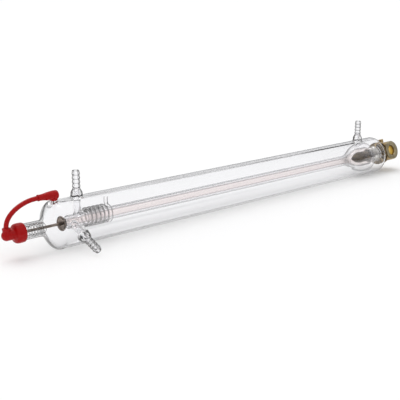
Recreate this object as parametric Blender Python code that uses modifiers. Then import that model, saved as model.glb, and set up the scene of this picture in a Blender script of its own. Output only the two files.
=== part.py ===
"""Sealed glass carbon dioxide laser tube, lying on its side.

The optical axis runs along X. The origin is the middle of the end plate's outer face, and all the
rest lies at negative X: first the brass turning head, then the glass, then the high voltage end
with its red boot and lead. Z is up. All sizes are real sizes in metres.
"""

import math

import bmesh
import bpy
from mathutils import Matrix, Vector

MM = 0.001

# Fits
GAP = 0.3 * MM                    # clearance between two pieces that touch
CUT_MARGIN = 1.0 * MM             # how far a cutter runs past the face that it opens

# Glass envelope, the gas reservoir
ENVELOPE_RADIUS = 27.5 * MM
ENVELOPE_WALL = 1.8 * MM
ENVELOPE_LENGTH = 568.0 * MM      # the straight part
REAR_DOME_LENGTH = 12.0 * MM      # half axis of the elliptical dome at the output end
SHOULDER_LENGTH = 19.0 * MM       # from the full width down to the neck
NECK_RADIUS = 9.0 * MM
NECK_LENGTH = 26.0 * MM

# Discharge tube, its flared mouth and the cathode chamber at its output end
BORE_RADIUS = 4.5 * MM            # outside of the glass
BORE_WALL = 1.0 * MM
MOUTH_RADIUS = 7.5 * MM
MOUTH_LENGTH = 3.2 * MM
MOUTH_SETBACK = 10.0 * MM         # from the left end of the envelope's straight part
CHAMBER_RADIUS = 14.0 * MM
CHAMBER_FLARE = 38.0 * MM
CHAMBER_LENGTH = 16.0 * MM        # the straight part
CHAMBER_DOME_LENGTH = 7.5 * MM    # half axis of its rounded end
CHAMBER_NECK_RADIUS = 9.5 * MM
CHAMBER_NECK_LENGTH = 5.5 * MM
CATHODE_TIP_RADIUS = 1.6 * MM
CATHODE_SETBACK = 21.0 * MM       # its tip, from the start of the flare
CATHODE_NOSE = 17.0 * MM          # from the tip to the full width
CATHODE_END_SETBACK = 2.0 * MM    # its open end, from the end of the chamber's neck
CATHODE_WALL = 0.6 * MM

# Water jacket round the discharge tube, with the bulb round the cathode chamber
JACKET_RADIUS = 7.5 * MM
JACKET_WALL = 1.2 * MM
JACKET_END_LENGTH = 2.5 * MM
BULB_RADIUS = 22.0 * MM
BULB_FLARE = 44.0 * MM
BULB_LENGTH = 5.4 * MM
BULB_DOME_LENGTH = 8.0 * MM       # half axis of its rounded end
BULB_CLEARANCE = 0.8 * MM         # its closed end, from the rounded end of the chamber

# Gas return coil
COIL_TUBE_RADIUS = 2.4 * MM
COIL_WALL = 0.7 * MM
COIL_PITCH = 5.6 * MM
COIL_TURNS = 5.75
COIL_SETBACK = 22.5 * MM          # first turn, from the jacket's left end
COIL_POINTS_PER_TURN = 12
COIL_LEAD_IN = 20.0 * MM          # straight open end beside the jacket
COIL_HOOK_HEIGHT = 7.5 * MM       # how far the other end rises from the coil

# Hose nipples
STEM_RADIUS = 4.0 * MM
STEM_BORE = 2.5 * MM
NIPPLE_HEIGHT = 29.5 * MM         # above the envelope
NIPPLE_FOOT_RADIUS = 6.4 * MM
NIPPLE_BULGE_RADIUS = 5.9 * MM
NIPPLE_BULGE_HEIGHT = 4.5 * MM
NIPPLE_WAIST_RADIUS = 3.7 * MM
NIPPLE_WAIST_HEIGHT = 8.0 * MM
NIPPLE_TIP_RADIUS = 3.4 * MM
BARB_RADIUS = 4.6 * MM
BARB_COUNT = 4
BARB_PITCH = 5.0 * MM
TOP_NIPPLE_SETBACK = 15.2 * MM    # from the jacket's left end
SIDE_NIPPLE_SETBACK = 5.5 * MM
REAR_NIPPLE_SETBACK = 20.2 * MM   # from the bulb's closed end
SIDE_NIPPLE_ANGLE = math.radians(69.0)   # from straight down, so its tip just clears the floor

# High voltage end
ANODE_TUBE_RADIUS = 1.6 * MM
ANODE_TUBE_BORE = 1.0 * MM
CONE_RADIUS = 8.5 * MM
CONE_TIP_RADIUS = 2.5 * MM
CONE_LENGTH = 6.0 * MM
CONE_WALL = 0.8 * MM
CONE_HUB_LENGTH = 2.6 * MM
CONE_MOUTH_DEPTH = 2.8 * MM       # how deep the cone's tip stands in the flared mouth
SEAL_LENGTH = 3.7 * MM
BELLOWS_STRAIGHT = 8.7 * MM
BELLOWS_STRAIGHT_RADIUS = 5.6 * MM
BELLOWS_RADIUS = 6.4 * MM
BELLOWS_WAIST = 4.9 * MM
BELLOWS_WALL = 0.6 * MM
BELLOWS_PLEATS = 5
BELLOWS_PITCH = 3.6 * MM
REAR_MIRROR_RADIUS = 8.8 * MM
REAR_MIRROR_THICKNESS = 2.5 * MM

# Starter electrode near the shoulder
STARTER_SETBACK = 44.0 * MM       # from the neck's left end
STARTER_FOOT_RADIUS = 5.0 * MM
STARTER_RADIUS = 3.2 * MM
STARTER_HEIGHT = 3.5 * MM         # glass above the envelope
STARTER_STEM_RADIUS = 2.4 * MM
STARTER_PIN_RADIUS = 0.7 * MM
STARTER_PIN_LENGTH = 8.0 * MM

# Red boots and lead
BOOT_LAP = 5.0 * MM               # over the neck
BOOT_RADIUS = 11.0 * MM
BOOT_FACE = 4.1 * MM              # thickness behind the mirror
BARREL_RADIUS = 6.2 * MM
BALL_RADIUS = 6.35 * MM
SOCKET_RADIUS = 4.2 * MM
SOCKET_HEIGHT = 8.3 * MM
LEAD_RADIUS = 2.6 * MM
LEAD_INSERTION = 7.9 * MM         # into the starter boot
STARTER_BOOT_RADIUS = 5.1 * MM
STARTER_BOOT_NECK = 3.3 * MM
STARTER_BOOT_LENGTH = 24.4 * MM
STARTER_BOOT_RISE = 2.8 * MM       # from the stub's tip to the boot's axis

# Output end: sleeve, adjusting plate, turning head, window and end plate
SLEEVE_RADIUS = 11.7 * MM
SLEEVE_LENGTH = 28.0 * MM
SLEEVE_LAP = 3.0 * MM             # over the end of the cathode chamber
RIB_RADIUS = 12.4 * MM
RIB_WIDTH = 1.6 * MM
RIB_SETBACKS = (2.0 * MM, 8.0 * MM, 12.0 * MM)
DOME_CLEARANCE = 1.1 * MM         # from the end of the glass to the adjusting screws
ADJUSTER_PLATE_RADIUS = 17.5 * MM
ADJUSTER_PLATE_THICKNESS = 3.0 * MM
ADJUSTER_PLATE_SPACE = 3.7 * MM   # from the plate to the head
ADJUSTER_CIRCLE = 14.75 * MM
ADJUSTER_RADIUS = 2.6 * MM
ADJUSTER_LENGTH = 3.5 * MM
ADJUSTER_SHANK = 1.2 * MM
ADJUSTER_COUNT = 3
BODY_RADIUS = 14.5 * MM
BODY_FLAT = 12.7 * MM             # from the port's axis to each flat side
BODY_FRONT = 13.5 * MM            # from the optical axis to the window side
BODY_BACK = 13.0 * MM
FLANGE_THICKNESS = 3.5 * MM
BEAM_RADIUS = 6.0 * MM
PORT_RADIUS = 5.5 * MM
PORT_TILT = math.radians(20.0)    # the window looks this far above the horizontal
WINDOW_RADIUS = 7.2 * MM
WINDOW_THICKNESS = 2.0 * MM
WINDOW_RECESS = 1.0 * MM          # below the head's own face
RING_THICKNESS = 3.2 * MM
RING_RADIUS = 14.3 * MM
RING_BORE = 7.5 * MM
CLAMP_RADIUS = 4.0 * MM
CLAMP_HEIGHT = 5.5 * MM
CLAMP_SHANK = 1.5 * MM
CLAMP_DEPTH = 4.5 * MM
PLATE_RADIUS = 11.0 * MM
PLATE_THICKNESS = 4.0 * MM
PLATE_SCREW_OFFSET = 6.0 * MM
PLATE_SCREW_RADIUS = 1.6 * MM
PLATE_SCREW_HEAD = 1.4 * MM
PLATE_SCREW_SHANK = 0.9 * MM
PLATE_SCREW_LENGTH = 8.0 * MM

# Stations along X, worked out from the sizes above
BODY_X = -(PLATE_THICKNESS + GAP + BODY_FLAT)
BODY_LEFT = BODY_X - BODY_FLAT
SLEEVE_RIGHT = BODY_LEFT - GAP
SLEEVE_LEFT = SLEEVE_RIGHT - SLEEVE_LENGTH
CHAMBER_RIGHT = SLEEVE_LEFT + SLEEVE_LAP
CHAMBER_DOME_DEPTH = CHAMBER_DOME_LENGTH * math.sqrt(1 - (CHAMBER_NECK_RADIUS / CHAMBER_RADIUS) ** 2)
CHAMBER_DOME_LEFT = CHAMBER_RIGHT - CHAMBER_NECK_LENGTH - CHAMBER_DOME_DEPTH
CHAMBER_LEFT = CHAMBER_DOME_LEFT - CHAMBER_LENGTH
BULB_CLOSED_RADIUS = CHAMBER_RADIUS + GAP + 0.35 * JACKET_WALL
BULB_DOME_DEPTH = BULB_DOME_LENGTH * math.sqrt(1 - (BULB_CLOSED_RADIUS / BULB_RADIUS) ** 2)
BULB_RIGHT = CHAMBER_DOME_LEFT - BULB_CLEARANCE
BULB_DOME_LEFT = BULB_RIGHT - BULB_DOME_DEPTH
BULB_LEFT = BULB_DOME_LEFT - BULB_LENGTH
ADJUSTER_PLATE_RIGHT = BODY_LEFT - ADJUSTER_PLATE_SPACE
ADJUSTER_PLATE_LEFT = ADJUSTER_PLATE_RIGHT - ADJUSTER_PLATE_THICKNESS
ADJUSTER_LEFT = ADJUSTER_PLATE_LEFT - GAP - ADJUSTER_LENGTH
DOME_HOLE_RADIUS = SLEEVE_RADIUS + GAP + ENVELOPE_WALL / 2
DOME_DEPTH = REAR_DOME_LENGTH * math.sqrt(1 - (DOME_HOLE_RADIUS / ENVELOPE_RADIUS) ** 2)
DOME_LEFT = ADJUSTER_LEFT - DOME_CLEARANCE - DOME_DEPTH
SHOULDER_RIGHT = DOME_LEFT - ENVELOPE_LENGTH
NECK_RIGHT = SHOULDER_RIGHT - SHOULDER_LENGTH
NECK_LEFT = NECK_RIGHT - NECK_LENGTH
MOUTH_LEFT = SHOULDER_RIGHT + MOUTH_SETBACK
JACKET_LEFT = MOUTH_LEFT + MOUTH_LENGTH + GAP
TOP_NIPPLE_X = JACKET_LEFT + TOP_NIPPLE_SETBACK
SIDE_NIPPLE_X = JACKET_LEFT + SIDE_NIPPLE_SETBACK
REAR_NIPPLE_X = BULB_RIGHT - REAR_NIPPLE_SETBACK
STARTER_X = NECK_LEFT + STARTER_SETBACK
CONE_TIP = MOUTH_LEFT + CONE_MOUTH_DEPTH
CONE_BASE = CONE_TIP - CONE_LENGTH
BOOT_RIGHT = NECK_LEFT + BOOT_LAP
BOOT_FLOOR = NECK_LEFT - GAP - REAR_MIRROR_THICKNESS - GAP
BOOT_LEFT = BOOT_FLOOR - BOOT_FACE

PORT_AXIS = Vector((0.0, -math.cos(PORT_TILT), math.sin(PORT_TILT)))
PORT_UP = Vector((0.0, math.sin(PORT_TILT), math.cos(PORT_TILT)))
ALONG_X = Vector((1.0, 0.0, 0.0))
UP = Vector((0.0, 0.0, 1.0))
SIDE_NIPPLE_AXIS = Vector((0.0, -math.sin(SIDE_NIPPLE_ANGLE), -math.cos(SIDE_NIPPLE_ANGLE)))

# Points that the lead's middle line passes, from the anode boot to the starter boot, as
# (distance from the neck's left end, height above the axis)
LEAD_ROUTE_MM = [
    (-14.0, 3.5), (-14.3, 7.0), (-14.2, 11.0), (-13.0, 15.0), (-10.6, 19.1), (-7.0, 22.9),
    (-2.4, 26.3), (2.8, 29.1), (8.5, 31.3), (14.7, 32.9), (20.5, 33.6), (26.5, 33.8), (32.5, 33.8),
]
LEAD_TOP = ENVELOPE_RADIUS + STARTER_HEIGHT + STARTER_BOOT_RISE
LEAD_RISE = LEAD_TOP / LEAD_ROUTE_MM[-1][1]   # so that the lead ends at the boot's axis
LEAD_ROUTE = [(NECK_LEFT + x * MM, z * LEAD_RISE) for x, z in LEAD_ROUTE_MM]
LEAD_POINT_COUNT = 30


# Scene and materials

def clear_scene():
    """Remove every object, so the model starts from nothing."""
    for item in list(bpy.data.objects):
        bpy.data.objects.remove(item, do_unlink=True)


def make_collection(name):
    """Add a collection to the scene and return it."""
    collection = bpy.data.collections.new(name)
    bpy.context.scene.collection.children.link(collection)
    return collection


def make_material(name, colour, roughness, metallic, alpha=1.0, transmission=0.0):
    """Principled material with the given look."""
    material = bpy.data.materials.new(name)
    material.use_nodes = True
    shader = material.node_tree.nodes["Principled BSDF"]
    shader.inputs["Base Color"].default_value = (*colour, 1.0)
    shader.inputs["Roughness"].default_value = roughness
    shader.inputs["Metallic"].default_value = metallic
    shader.inputs["Alpha"].default_value = alpha
    shader.inputs["Transmission Weight"].default_value = transmission
    material.diffuse_color = (*colour, alpha)
    return material


clear_scene()
PARTS = make_collection("co2_laser_tube")
CUTTERS = make_collection("cutters")

GLASS = make_material("clear_glass", (0.93, 0.95, 0.94), 0.02, 0.0, 0.3, 1.0)
NICKEL = make_material("nickel", (0.42, 0.38, 0.33), 0.3, 1.0)
STEEL = make_material("plated_sleeve", (0.62, 0.6, 0.58), 0.25, 1.0)
BRASS = make_material("brass", (0.55, 0.43, 0.24), 0.3, 1.0)
BRONZE = make_material("dark_brass", (0.33, 0.28, 0.2), 0.35, 1.0)
WINDOW = make_material("yellow_window", (0.85, 0.6, 0.14), 0.08, 0.0)
MIRROR = make_material("gold_mirror", (0.9, 0.7, 0.35), 0.05, 1.0)
SILICONE = make_material("red_silicone", (0.62, 0.02, 0.03), 0.4, 0.0)


# Outlines, as lists of (x, radius)

def smooth_outline(x_from, x_to, r_from, r_to, steps):
    """An S curve between two radii, level at both ends."""
    points = []
    for i in range(steps + 1):
        t = i / steps
        points.append((x_from + (x_to - x_from) * t,
                       r_from + (r_to - r_from) * (1 - math.cos(math.pi * t)) / 2))
    return points


def dome_outline(x_from, length, radius, end_radius, steps):
    """Quarter of an ellipse that closes in from radius to end_radius; length may be negative."""
    last = math.acos(end_radius / radius)
    return [(x_from + length * math.sin(last * i / steps), radius * math.cos(last * i / steps))
            for i in range(steps + 1)]


def inset(outline, wall):
    """The same open outline moved in by the wall, square to its own line."""
    moved = []
    for i, (x, r) in enumerate(outline):
        normals = []
        for a, b in ((i - 1, i), (i, i + 1)):
            if 0 <= a and b < len(outline):
                dx = outline[b][0] - outline[a][0]
                dr = outline[b][1] - outline[a][1]
                size = math.hypot(dx, dr)
                normals.append((dr / size, -dx / size))
        nx = sum(n[0] for n in normals) / len(normals)
        nr = sum(n[1] for n in normals) / len(normals)
        square = nx * nx + nr * nr
        moved.append((x + wall * nx / square, r + wall * nr / square))
    return moved


def tidy(outline):
    """Drop points that repeat the one before them."""
    kept = [outline[0]]
    for point in outline[1:]:
        if math.hypot(point[0] - kept[-1][0], point[1] - kept[-1][1]) > 0.01 * MM:
            kept.append(point)
    return kept


def tube_wall(outline, wall):
    """Closed outline of a wall of even thickness under the outer outline, left to right."""
    outer = tidy(outline)
    return outer + list(reversed(inset(outer, wall)))


# Solids

def turn_to(axis, origin):
    """Matrix that takes local Z to the axis, and local X to the model's X or to Z."""
    z = axis.normalized()
    helper = ALONG_X if abs(z.dot(ALONG_X)) < 0.9 else UP
    y = z.cross(helper).normalized()
    x = y.cross(z)
    turn = Matrix((x, y, z)).transposed().to_4x4()
    return Matrix.Translation(origin) @ turn


def add_object(name, mesh, material, collection):
    """Link a mesh as an object with its one material."""
    item = bpy.data.objects.new(name, mesh)
    collection.objects.link(item)
    if material:
        mesh.materials.append(material)
    return item


def lathe(name, outline, material, steps, axis=ALONG_X, origin=Vector(), closed=True,
          collection=None):
    """Turn an outline of (height, radius) points round the axis.

    A closed outline gives a ring-like solid. An open one runs from axis to axis, low to high.
    """
    area = sum(a[0] * b[1] - b[0] * a[1]
               for a, b in zip(outline, outline[1:] + outline[:1]))
    points = list(outline) if area > 0 else list(reversed(outline))
    mesh = bpy.data.meshes.new(name)
    work = bmesh.new()
    verts = [work.verts.new((r, 0.0, h)) for h, r in points]
    for a, b in zip(verts, verts[1:]):
        work.edges.new((a, b))
    if closed:
        work.edges.new((verts[-1], verts[0]))
    work.to_mesh(mesh)
    work.free()
    item = add_object(name, mesh, material, collection or PARTS)
    screw = item.modifiers.new("turn", "SCREW")
    screw.axis = "Z"
    screw.angle = 2 * math.pi
    screw.steps = steps
    screw.render_steps = steps
    screw.use_merge_vertices = True
    screw.merge_threshold = 0.00001
    screw.use_smooth_shade = True
    item.matrix_world = turn_to(axis, origin)
    return item


def disc_outline(low, high, radius, chamfer=0.0):
    """Outline of a solid disc or rod, from axis to axis."""
    if not chamfer:
        return [(low, 0.0), (low, radius), (high, radius), (high, 0.0)]
    return [(low, 0.0), (low, radius - chamfer), (low + chamfer, radius),
            (high - chamfer, radius), (high, radius - chamfer), (high, 0.0)]


def cutter(name, radius, low, high, axis, origin, steps=24):
    """A plain round cutter along an axis."""
    item = lathe(name, disc_outline(low, high, radius), None, steps, axis, origin,
                 closed=False, collection=CUTTERS)
    item.hide_render = True
    item.display_type = "WIRE"
    return item


def box_cutter(name, centre, size, turn):
    """A box cutter, turned by a matrix about its centre."""
    bpy.ops.mesh.primitive_cube_add(size=1.0)
    item = bpy.context.active_object
    item.name = name
    item.data.transform(Matrix.Diagonal((*size, 1.0)))
    item.matrix_world = Matrix.Translation(centre) @ turn
    for collection in list(item.users_collection):
        collection.objects.unlink(item)
    CUTTERS.objects.link(item)
    item.hide_render = True
    item.display_type = "WIRE"
    return item


def boolean(item, tool, operation="DIFFERENCE"):
    """Cut or join with the exact solver."""
    modifier = item.modifiers.new(operation.lower(), "BOOLEAN")
    modifier.operation = operation
    modifier.solver = "EXACT"
    modifier.object = tool
    return item


def hide_tool(item):
    """Move a piece that only helps a Boolean out of the part."""
    for collection in list(item.users_collection):
        collection.objects.unlink(item)
    CUTTERS.objects.link(item)
    item.hide_render = True
    item.display_type = "WIRE"
    return item


def smooth_line(points, count):
    """Evenly numbered points on a Catmull-Rom curve through the given ones."""
    line = []
    spans = len(points) - 1
    for i in range(count):
        place = min(i * spans / (count - 1), spans - 1e-9)
        k = int(place)
        t = place - k
        p0 = points[max(k - 1, 0)]
        p1, p2 = points[k], points[k + 1]
        p3 = points[min(k + 2, spans)]
        line.append(0.5 * ((2 * p1) + (p2 - p0) * t + (2 * p0 - 5 * p1 + 4 * p2 - p3) * t * t
                           + (3 * p1 - p0 - 3 * p2 + p3) * t ** 3))
    return line


def swept_tube(name, line, radius, resolution, material, caps=True):
    """A round tube along points, as a mesh with its caps welded."""
    curve = bpy.data.curves.new(name, "CURVE")
    curve.dimensions = "3D"
    curve.bevel_depth = radius
    curve.bevel_resolution = resolution
    curve.use_fill_caps = caps
    spline = curve.splines.new("POLY")
    spline.points.add(len(line) - 1)
    for point, place in zip(spline.points, line):
        point.co = (*place, 1.0)
    guide = bpy.data.objects.new(name + "_line", curve)
    PARTS.objects.link(guide)
    bpy.context.view_layer.update()
    evaluated = guide.evaluated_get(bpy.context.evaluated_depsgraph_get())
    mesh = bpy.data.meshes.new_from_object(evaluated)
    work = bmesh.new()
    work.from_mesh(mesh)
    bmesh.ops.remove_doubles(work, verts=work.verts, dist=0.00001)
    work.to_mesh(mesh)
    work.free()
    mesh.materials.clear()
    item = add_object(name, mesh, material, PARTS)
    item.matrix_world = guide.matrix_world
    bpy.data.objects.remove(guide, do_unlink=True)
    mesh.shade_smooth()
    return item


# Glass

def neck_outline():
    """The neck and the shoulder, left to right."""
    shoulder = smooth_outline(NECK_RIGHT, SHOULDER_RIGHT, NECK_RADIUS, ENVELOPE_RADIUS, 6)
    return [(NECK_LEFT, NECK_RADIUS)] + shoulder


def make_envelope():
    """Outer glass tube with its shoulder, neck and dome."""
    dome = dome_outline(DOME_LEFT, REAR_DOME_LENGTH, ENVELOPE_RADIUS, DOME_HOLE_RADIUS, 6)
    outline = neck_outline() + dome
    return lathe("outer_envelope", tube_wall(outline, ENVELOPE_WALL), GLASS, 40)


def flare_outline():
    """The bulb round the cathode chamber: flare, straight part and closed end."""
    flare = smooth_outline(BULB_LEFT - BULB_FLARE, BULB_LEFT, JACKET_RADIUS, BULB_RADIUS, 7)
    dome = dome_outline(BULB_DOME_LEFT, BULB_DOME_LENGTH, BULB_RADIUS, BULB_CLOSED_RADIUS, 4)
    return flare + dome


def bulb_radius_at(x):
    """Outer radius of the flare at a station, read from its own outline."""
    outline = flare_outline()
    for (x0, r0), (x1, r1) in zip(outline, outline[1:]):
        if x0 <= x <= x1:
            return r0 + (r1 - r0) * (x - x0) / (x1 - x0)
    return BULB_RADIUS if x > outline[0][0] else JACKET_RADIUS


def make_jacket():
    """Water jacket: a tube closed on the bore at the left and on the chamber at the right."""
    end_radius = BORE_RADIUS + GAP + JACKET_WALL
    outline = [(JACKET_LEFT, end_radius), (JACKET_LEFT + 0.3 * JACKET_END_LENGTH, end_radius),
               (JACKET_LEFT + JACKET_END_LENGTH, JACKET_RADIUS)] + flare_outline()
    return lathe("water_jacket", tube_wall(outline, JACKET_WALL), GLASS, 22)


def chamber_outline():
    """The cathode chamber: flare, straight part, rounded end and the neck for the sleeve."""
    left = CHAMBER_LEFT - CHAMBER_FLARE
    flare = smooth_outline(left, CHAMBER_LEFT, BORE_RADIUS, CHAMBER_RADIUS, 7)
    dome = dome_outline(CHAMBER_DOME_LEFT, CHAMBER_DOME_LENGTH, CHAMBER_RADIUS,
                        CHAMBER_NECK_RADIUS, 4)
    return flare + dome + [(CHAMBER_RIGHT, CHAMBER_NECK_RADIUS)]


def make_discharge_tube():
    """Bore tube with a flared mouth and the cathode chamber."""
    mouth = [(MOUTH_LEFT, MOUTH_RADIUS), (MOUTH_LEFT + MOUTH_LENGTH, BORE_RADIUS)]
    return lathe("discharge_tube", tube_wall(mouth + chamber_outline(), BORE_WALL), GLASS, 20)


def make_cathode():
    """Pointed nickel shell whose open end slides into the neck of the cathode chamber."""
    widest = CHAMBER_NECK_RADIUS - BORE_WALL - GAP
    left = CHAMBER_LEFT - CHAMBER_FLARE + CATHODE_SETBACK
    outline = []
    for i in range(8):
        t = i / 7
        outline.append((left + CATHODE_NOSE * t, CATHODE_TIP_RADIUS
                        + (widest - CATHODE_TIP_RADIUS) * math.sin(t * math.pi / 2)))
    outline.append((CHAMBER_RIGHT - CATHODE_END_SETBACK, widest))
    return lathe("cathode_sleeve", tube_wall(outline, CATHODE_WALL), NICKEL, 18)


def coil_line():
    """Middle line of the gas return tube: open end, turns and the hook at the other end."""
    radius = JACKET_RADIUS + GAP + COIL_TUBE_RADIUS
    start = JACKET_LEFT + COIL_SETBACK
    points = []
    for i in range(4):
        points.append(Vector((start - COIL_LEAD_IN * (1 - i / 4), radius, 0.0)))
    total = int(COIL_TURNS * COIL_POINTS_PER_TURN)
    for i in range(total + 1):
        turn = i / COIL_POINTS_PER_TURN
        angle = -2 * math.pi * turn
        points.append(Vector((start + COIL_PITCH * turn, radius * math.cos(angle),
                              radius * math.sin(angle))))
    last = points[-1]
    outward = Vector((0.0, last.y, last.z)).normalized()
    heading = (points[-1] - points[-2]).normalized()
    for i in range(1, 6):
        t = i / 5
        points.append(last + heading * COIL_TUBE_RADIUS * 2.2 * math.sin(t * math.pi / 2)
                      + outward * COIL_HOOK_HEIGHT * t * t + ALONG_X * COIL_PITCH * 0.4 * t)
    return points


def make_coil():
    """Hollow glass spiral round the jacket, open at both ends."""
    coil = swept_tube("gas_return_coil", coil_line(), COIL_TUBE_RADIUS, 2, GLASS, caps=False)
    wall = coil.modifiers.new("wall", "SOLIDIFY")
    wall.thickness = COIL_WALL
    wall.offset = -1.0
    return coil


def nipple_outline():
    """Outside of a nipple from inside the glass to its tip, as (height, radius)."""
    surface = ENVELOPE_RADIUS
    tip = surface + NIPPLE_HEIGHT
    points = [(surface - 2 * ENVELOPE_WALL, NIPPLE_FOOT_RADIUS),
              (surface + 0.2 * NIPPLE_BULGE_HEIGHT, NIPPLE_FOOT_RADIUS),
              (surface + 0.5 * NIPPLE_BULGE_HEIGHT, NIPPLE_BULGE_RADIUS),
              (surface + NIPPLE_BULGE_HEIGHT, NIPPLE_BULGE_RADIUS),
              (surface + 0.8 * NIPPLE_WAIST_HEIGHT, 0.5 * (NIPPLE_BULGE_RADIUS
                                                           + NIPPLE_WAIST_RADIUS)),
              (surface + NIPPLE_WAIST_HEIGHT, NIPPLE_WAIST_RADIUS)]
    for i in range(BARB_COUNT):
        base = tip - (BARB_COUNT - i) * BARB_PITCH
        points += [(base, BARB_RADIUS), (base + 0.75 * BARB_PITCH, NIPPLE_WAIST_RADIUS)]
    points.append((tip, NIPPLE_TIP_RADIUS))
    return points


def make_nipple(name, x, axis, inner_radius):
    """Barbed hose nipple whose stem passes through the envelope and seats in the jacket."""
    origin = Vector((x, 0.0, 0.0))
    tip = ENVELOPE_RADIUS + NIPPLE_HEIGHT
    outline = [(ENVELOPE_RADIUS - 2 * ENVELOPE_WALL, 0.0)] + nipple_outline() + [(tip, 0.0)]
    nipple = lathe(name, outline, GLASS, 16, axis, origin, closed=False)
    boolean(nipple, cutter(name + "_saddle", ENVELOPE_RADIUS + GAP, x - 2 * NIPPLE_FOOT_RADIUS,
                           x + 2 * NIPPLE_FOOT_RADIUS, ALONG_X, Vector(), steps=48))
    stem = cutter(name + "_stem", STEM_RADIUS, inner_radius,
                  ENVELOPE_RADIUS + NIPPLE_BULGE_HEIGHT, axis, origin, steps=20)
    boolean(nipple, stem, "UNION")
    boolean(nipple, cutter(name + "_bore", STEM_BORE, inner_radius - CUT_MARGIN,
                           tip + CUT_MARGIN, axis, origin, steps=16))
    return nipple


def drill(item, name, x, axis, radius, low):
    """Hole through one wall, from the given height outwards."""
    high = ENVELOPE_RADIUS + CUT_MARGIN
    boolean(item, cutter(name, radius, low, high, axis, Vector((x, 0.0, 0.0)), steps=20))


def make_nipples(envelope, jacket):
    """Three water nipples, each with its holes in the envelope and in the jacket."""
    rear_seat = bulb_radius_at(REAR_NIPPLE_X) - JACKET_WALL
    front_seat = JACKET_RADIUS - JACKET_WALL
    for name, x, axis, seat in (("water_nipple_top", TOP_NIPPLE_X, UP, front_seat),
                                ("water_nipple_side", SIDE_NIPPLE_X, SIDE_NIPPLE_AXIS, front_seat),
                                ("water_nipple_rear", REAR_NIPPLE_X, UP, rear_seat)):
        make_nipple(name, x, axis, seat)
        drill(envelope, name + "_wall_hole", x, axis, STEM_RADIUS + GAP,
              ENVELOPE_RADIUS - 2 * ENVELOPE_WALL)
        drill(jacket, name + "_jacket_hole", x, axis, STEM_RADIUS + GAP, 0.5 * BORE_RADIUS)


# High voltage end

def make_anode():
    """Cone at the mouth of the discharge tube, on a thin tube that comes from the seal."""
    hub = ANODE_TUBE_RADIUS + GAP
    step = CONE_TIP - CONE_HUB_LENGTH
    slope = (CONE_RADIUS - CONE_TIP_RADIUS) / CONE_LENGTH
    outline = [(CONE_BASE, CONE_RADIUS), (CONE_TIP, CONE_TIP_RADIUS), (CONE_TIP, hub),
               (step, hub), (step, CONE_TIP_RADIUS + slope * CONE_HUB_LENGTH - 1.4 * CONE_WALL),
               (CONE_BASE, CONE_RADIUS - CONE_WALL)]
    lathe("anode_cone", outline, NICKEL, 28)
    right = CONE_TIP - GAP
    wall = [(NECK_LEFT, ANODE_TUBE_RADIUS), (right, ANODE_TUBE_RADIUS),
            (right, ANODE_TUBE_BORE), (NECK_LEFT, ANODE_TUBE_BORE)]
    lathe("anode_tube", wall, NICKEL, 14)


def make_seal_and_bellows():
    """Glass seal in the neck's end, and the pleated glass tube that stands on it."""
    left = NECK_LEFT + GAP
    right = left + SEAL_LENGTH
    inner = ANODE_TUBE_RADIUS + GAP
    outer = NECK_RADIUS - ENVELOPE_WALL - GAP
    lathe("anode_seal", [(left, outer), (right, outer), (right, inner), (left, inner)], GLASS, 28)
    start = right + GAP
    pleats = start + BELLOWS_STRAIGHT
    points = [(start, BELLOWS_STRAIGHT_RADIUS), (pleats - 1.0 * MM, BELLOWS_STRAIGHT_RADIUS),
              (pleats, BELLOWS_WAIST)]
    for i in range(BELLOWS_PLEATS):
        base = pleats + i * BELLOWS_PITCH
        points += [(base + 0.3 * BELLOWS_PITCH, BELLOWS_RADIUS),
                   (base + 0.7 * BELLOWS_PITCH, BELLOWS_RADIUS),
                   (base + BELLOWS_PITCH, BELLOWS_WAIST)]
    lathe("neck_bellows", tube_wall(points, BELLOWS_WALL), GLASS, 14)


def make_rear_mirror():
    """Round mirror against the end of the neck."""
    right = NECK_LEFT - GAP
    outline = disc_outline(right - REAR_MIRROR_THICKNESS, right, REAR_MIRROR_RADIUS, 0.2 * MM)
    return lathe("rear_mirror", outline, MIRROR, 28, closed=False)


def shoulder_saddle():
    """Cutter with the form of the neck and shoulder, grown by the gap."""
    right = max(STARTER_X, SHOULDER_RIGHT) + 2 * STARTER_FOOT_RADIUS
    outline = inset(tidy(neck_outline() + [(right, ENVELOPE_RADIUS)]), -GAP)
    outline = [(outline[0][0], 0.0)] + outline + [(outline[-1][0], 0.0)]
    item = lathe("starter_saddle", outline, None, 40, closed=False, collection=CUTTERS)
    item.hide_render = True
    item.display_type = "WIRE"
    return item


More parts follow.
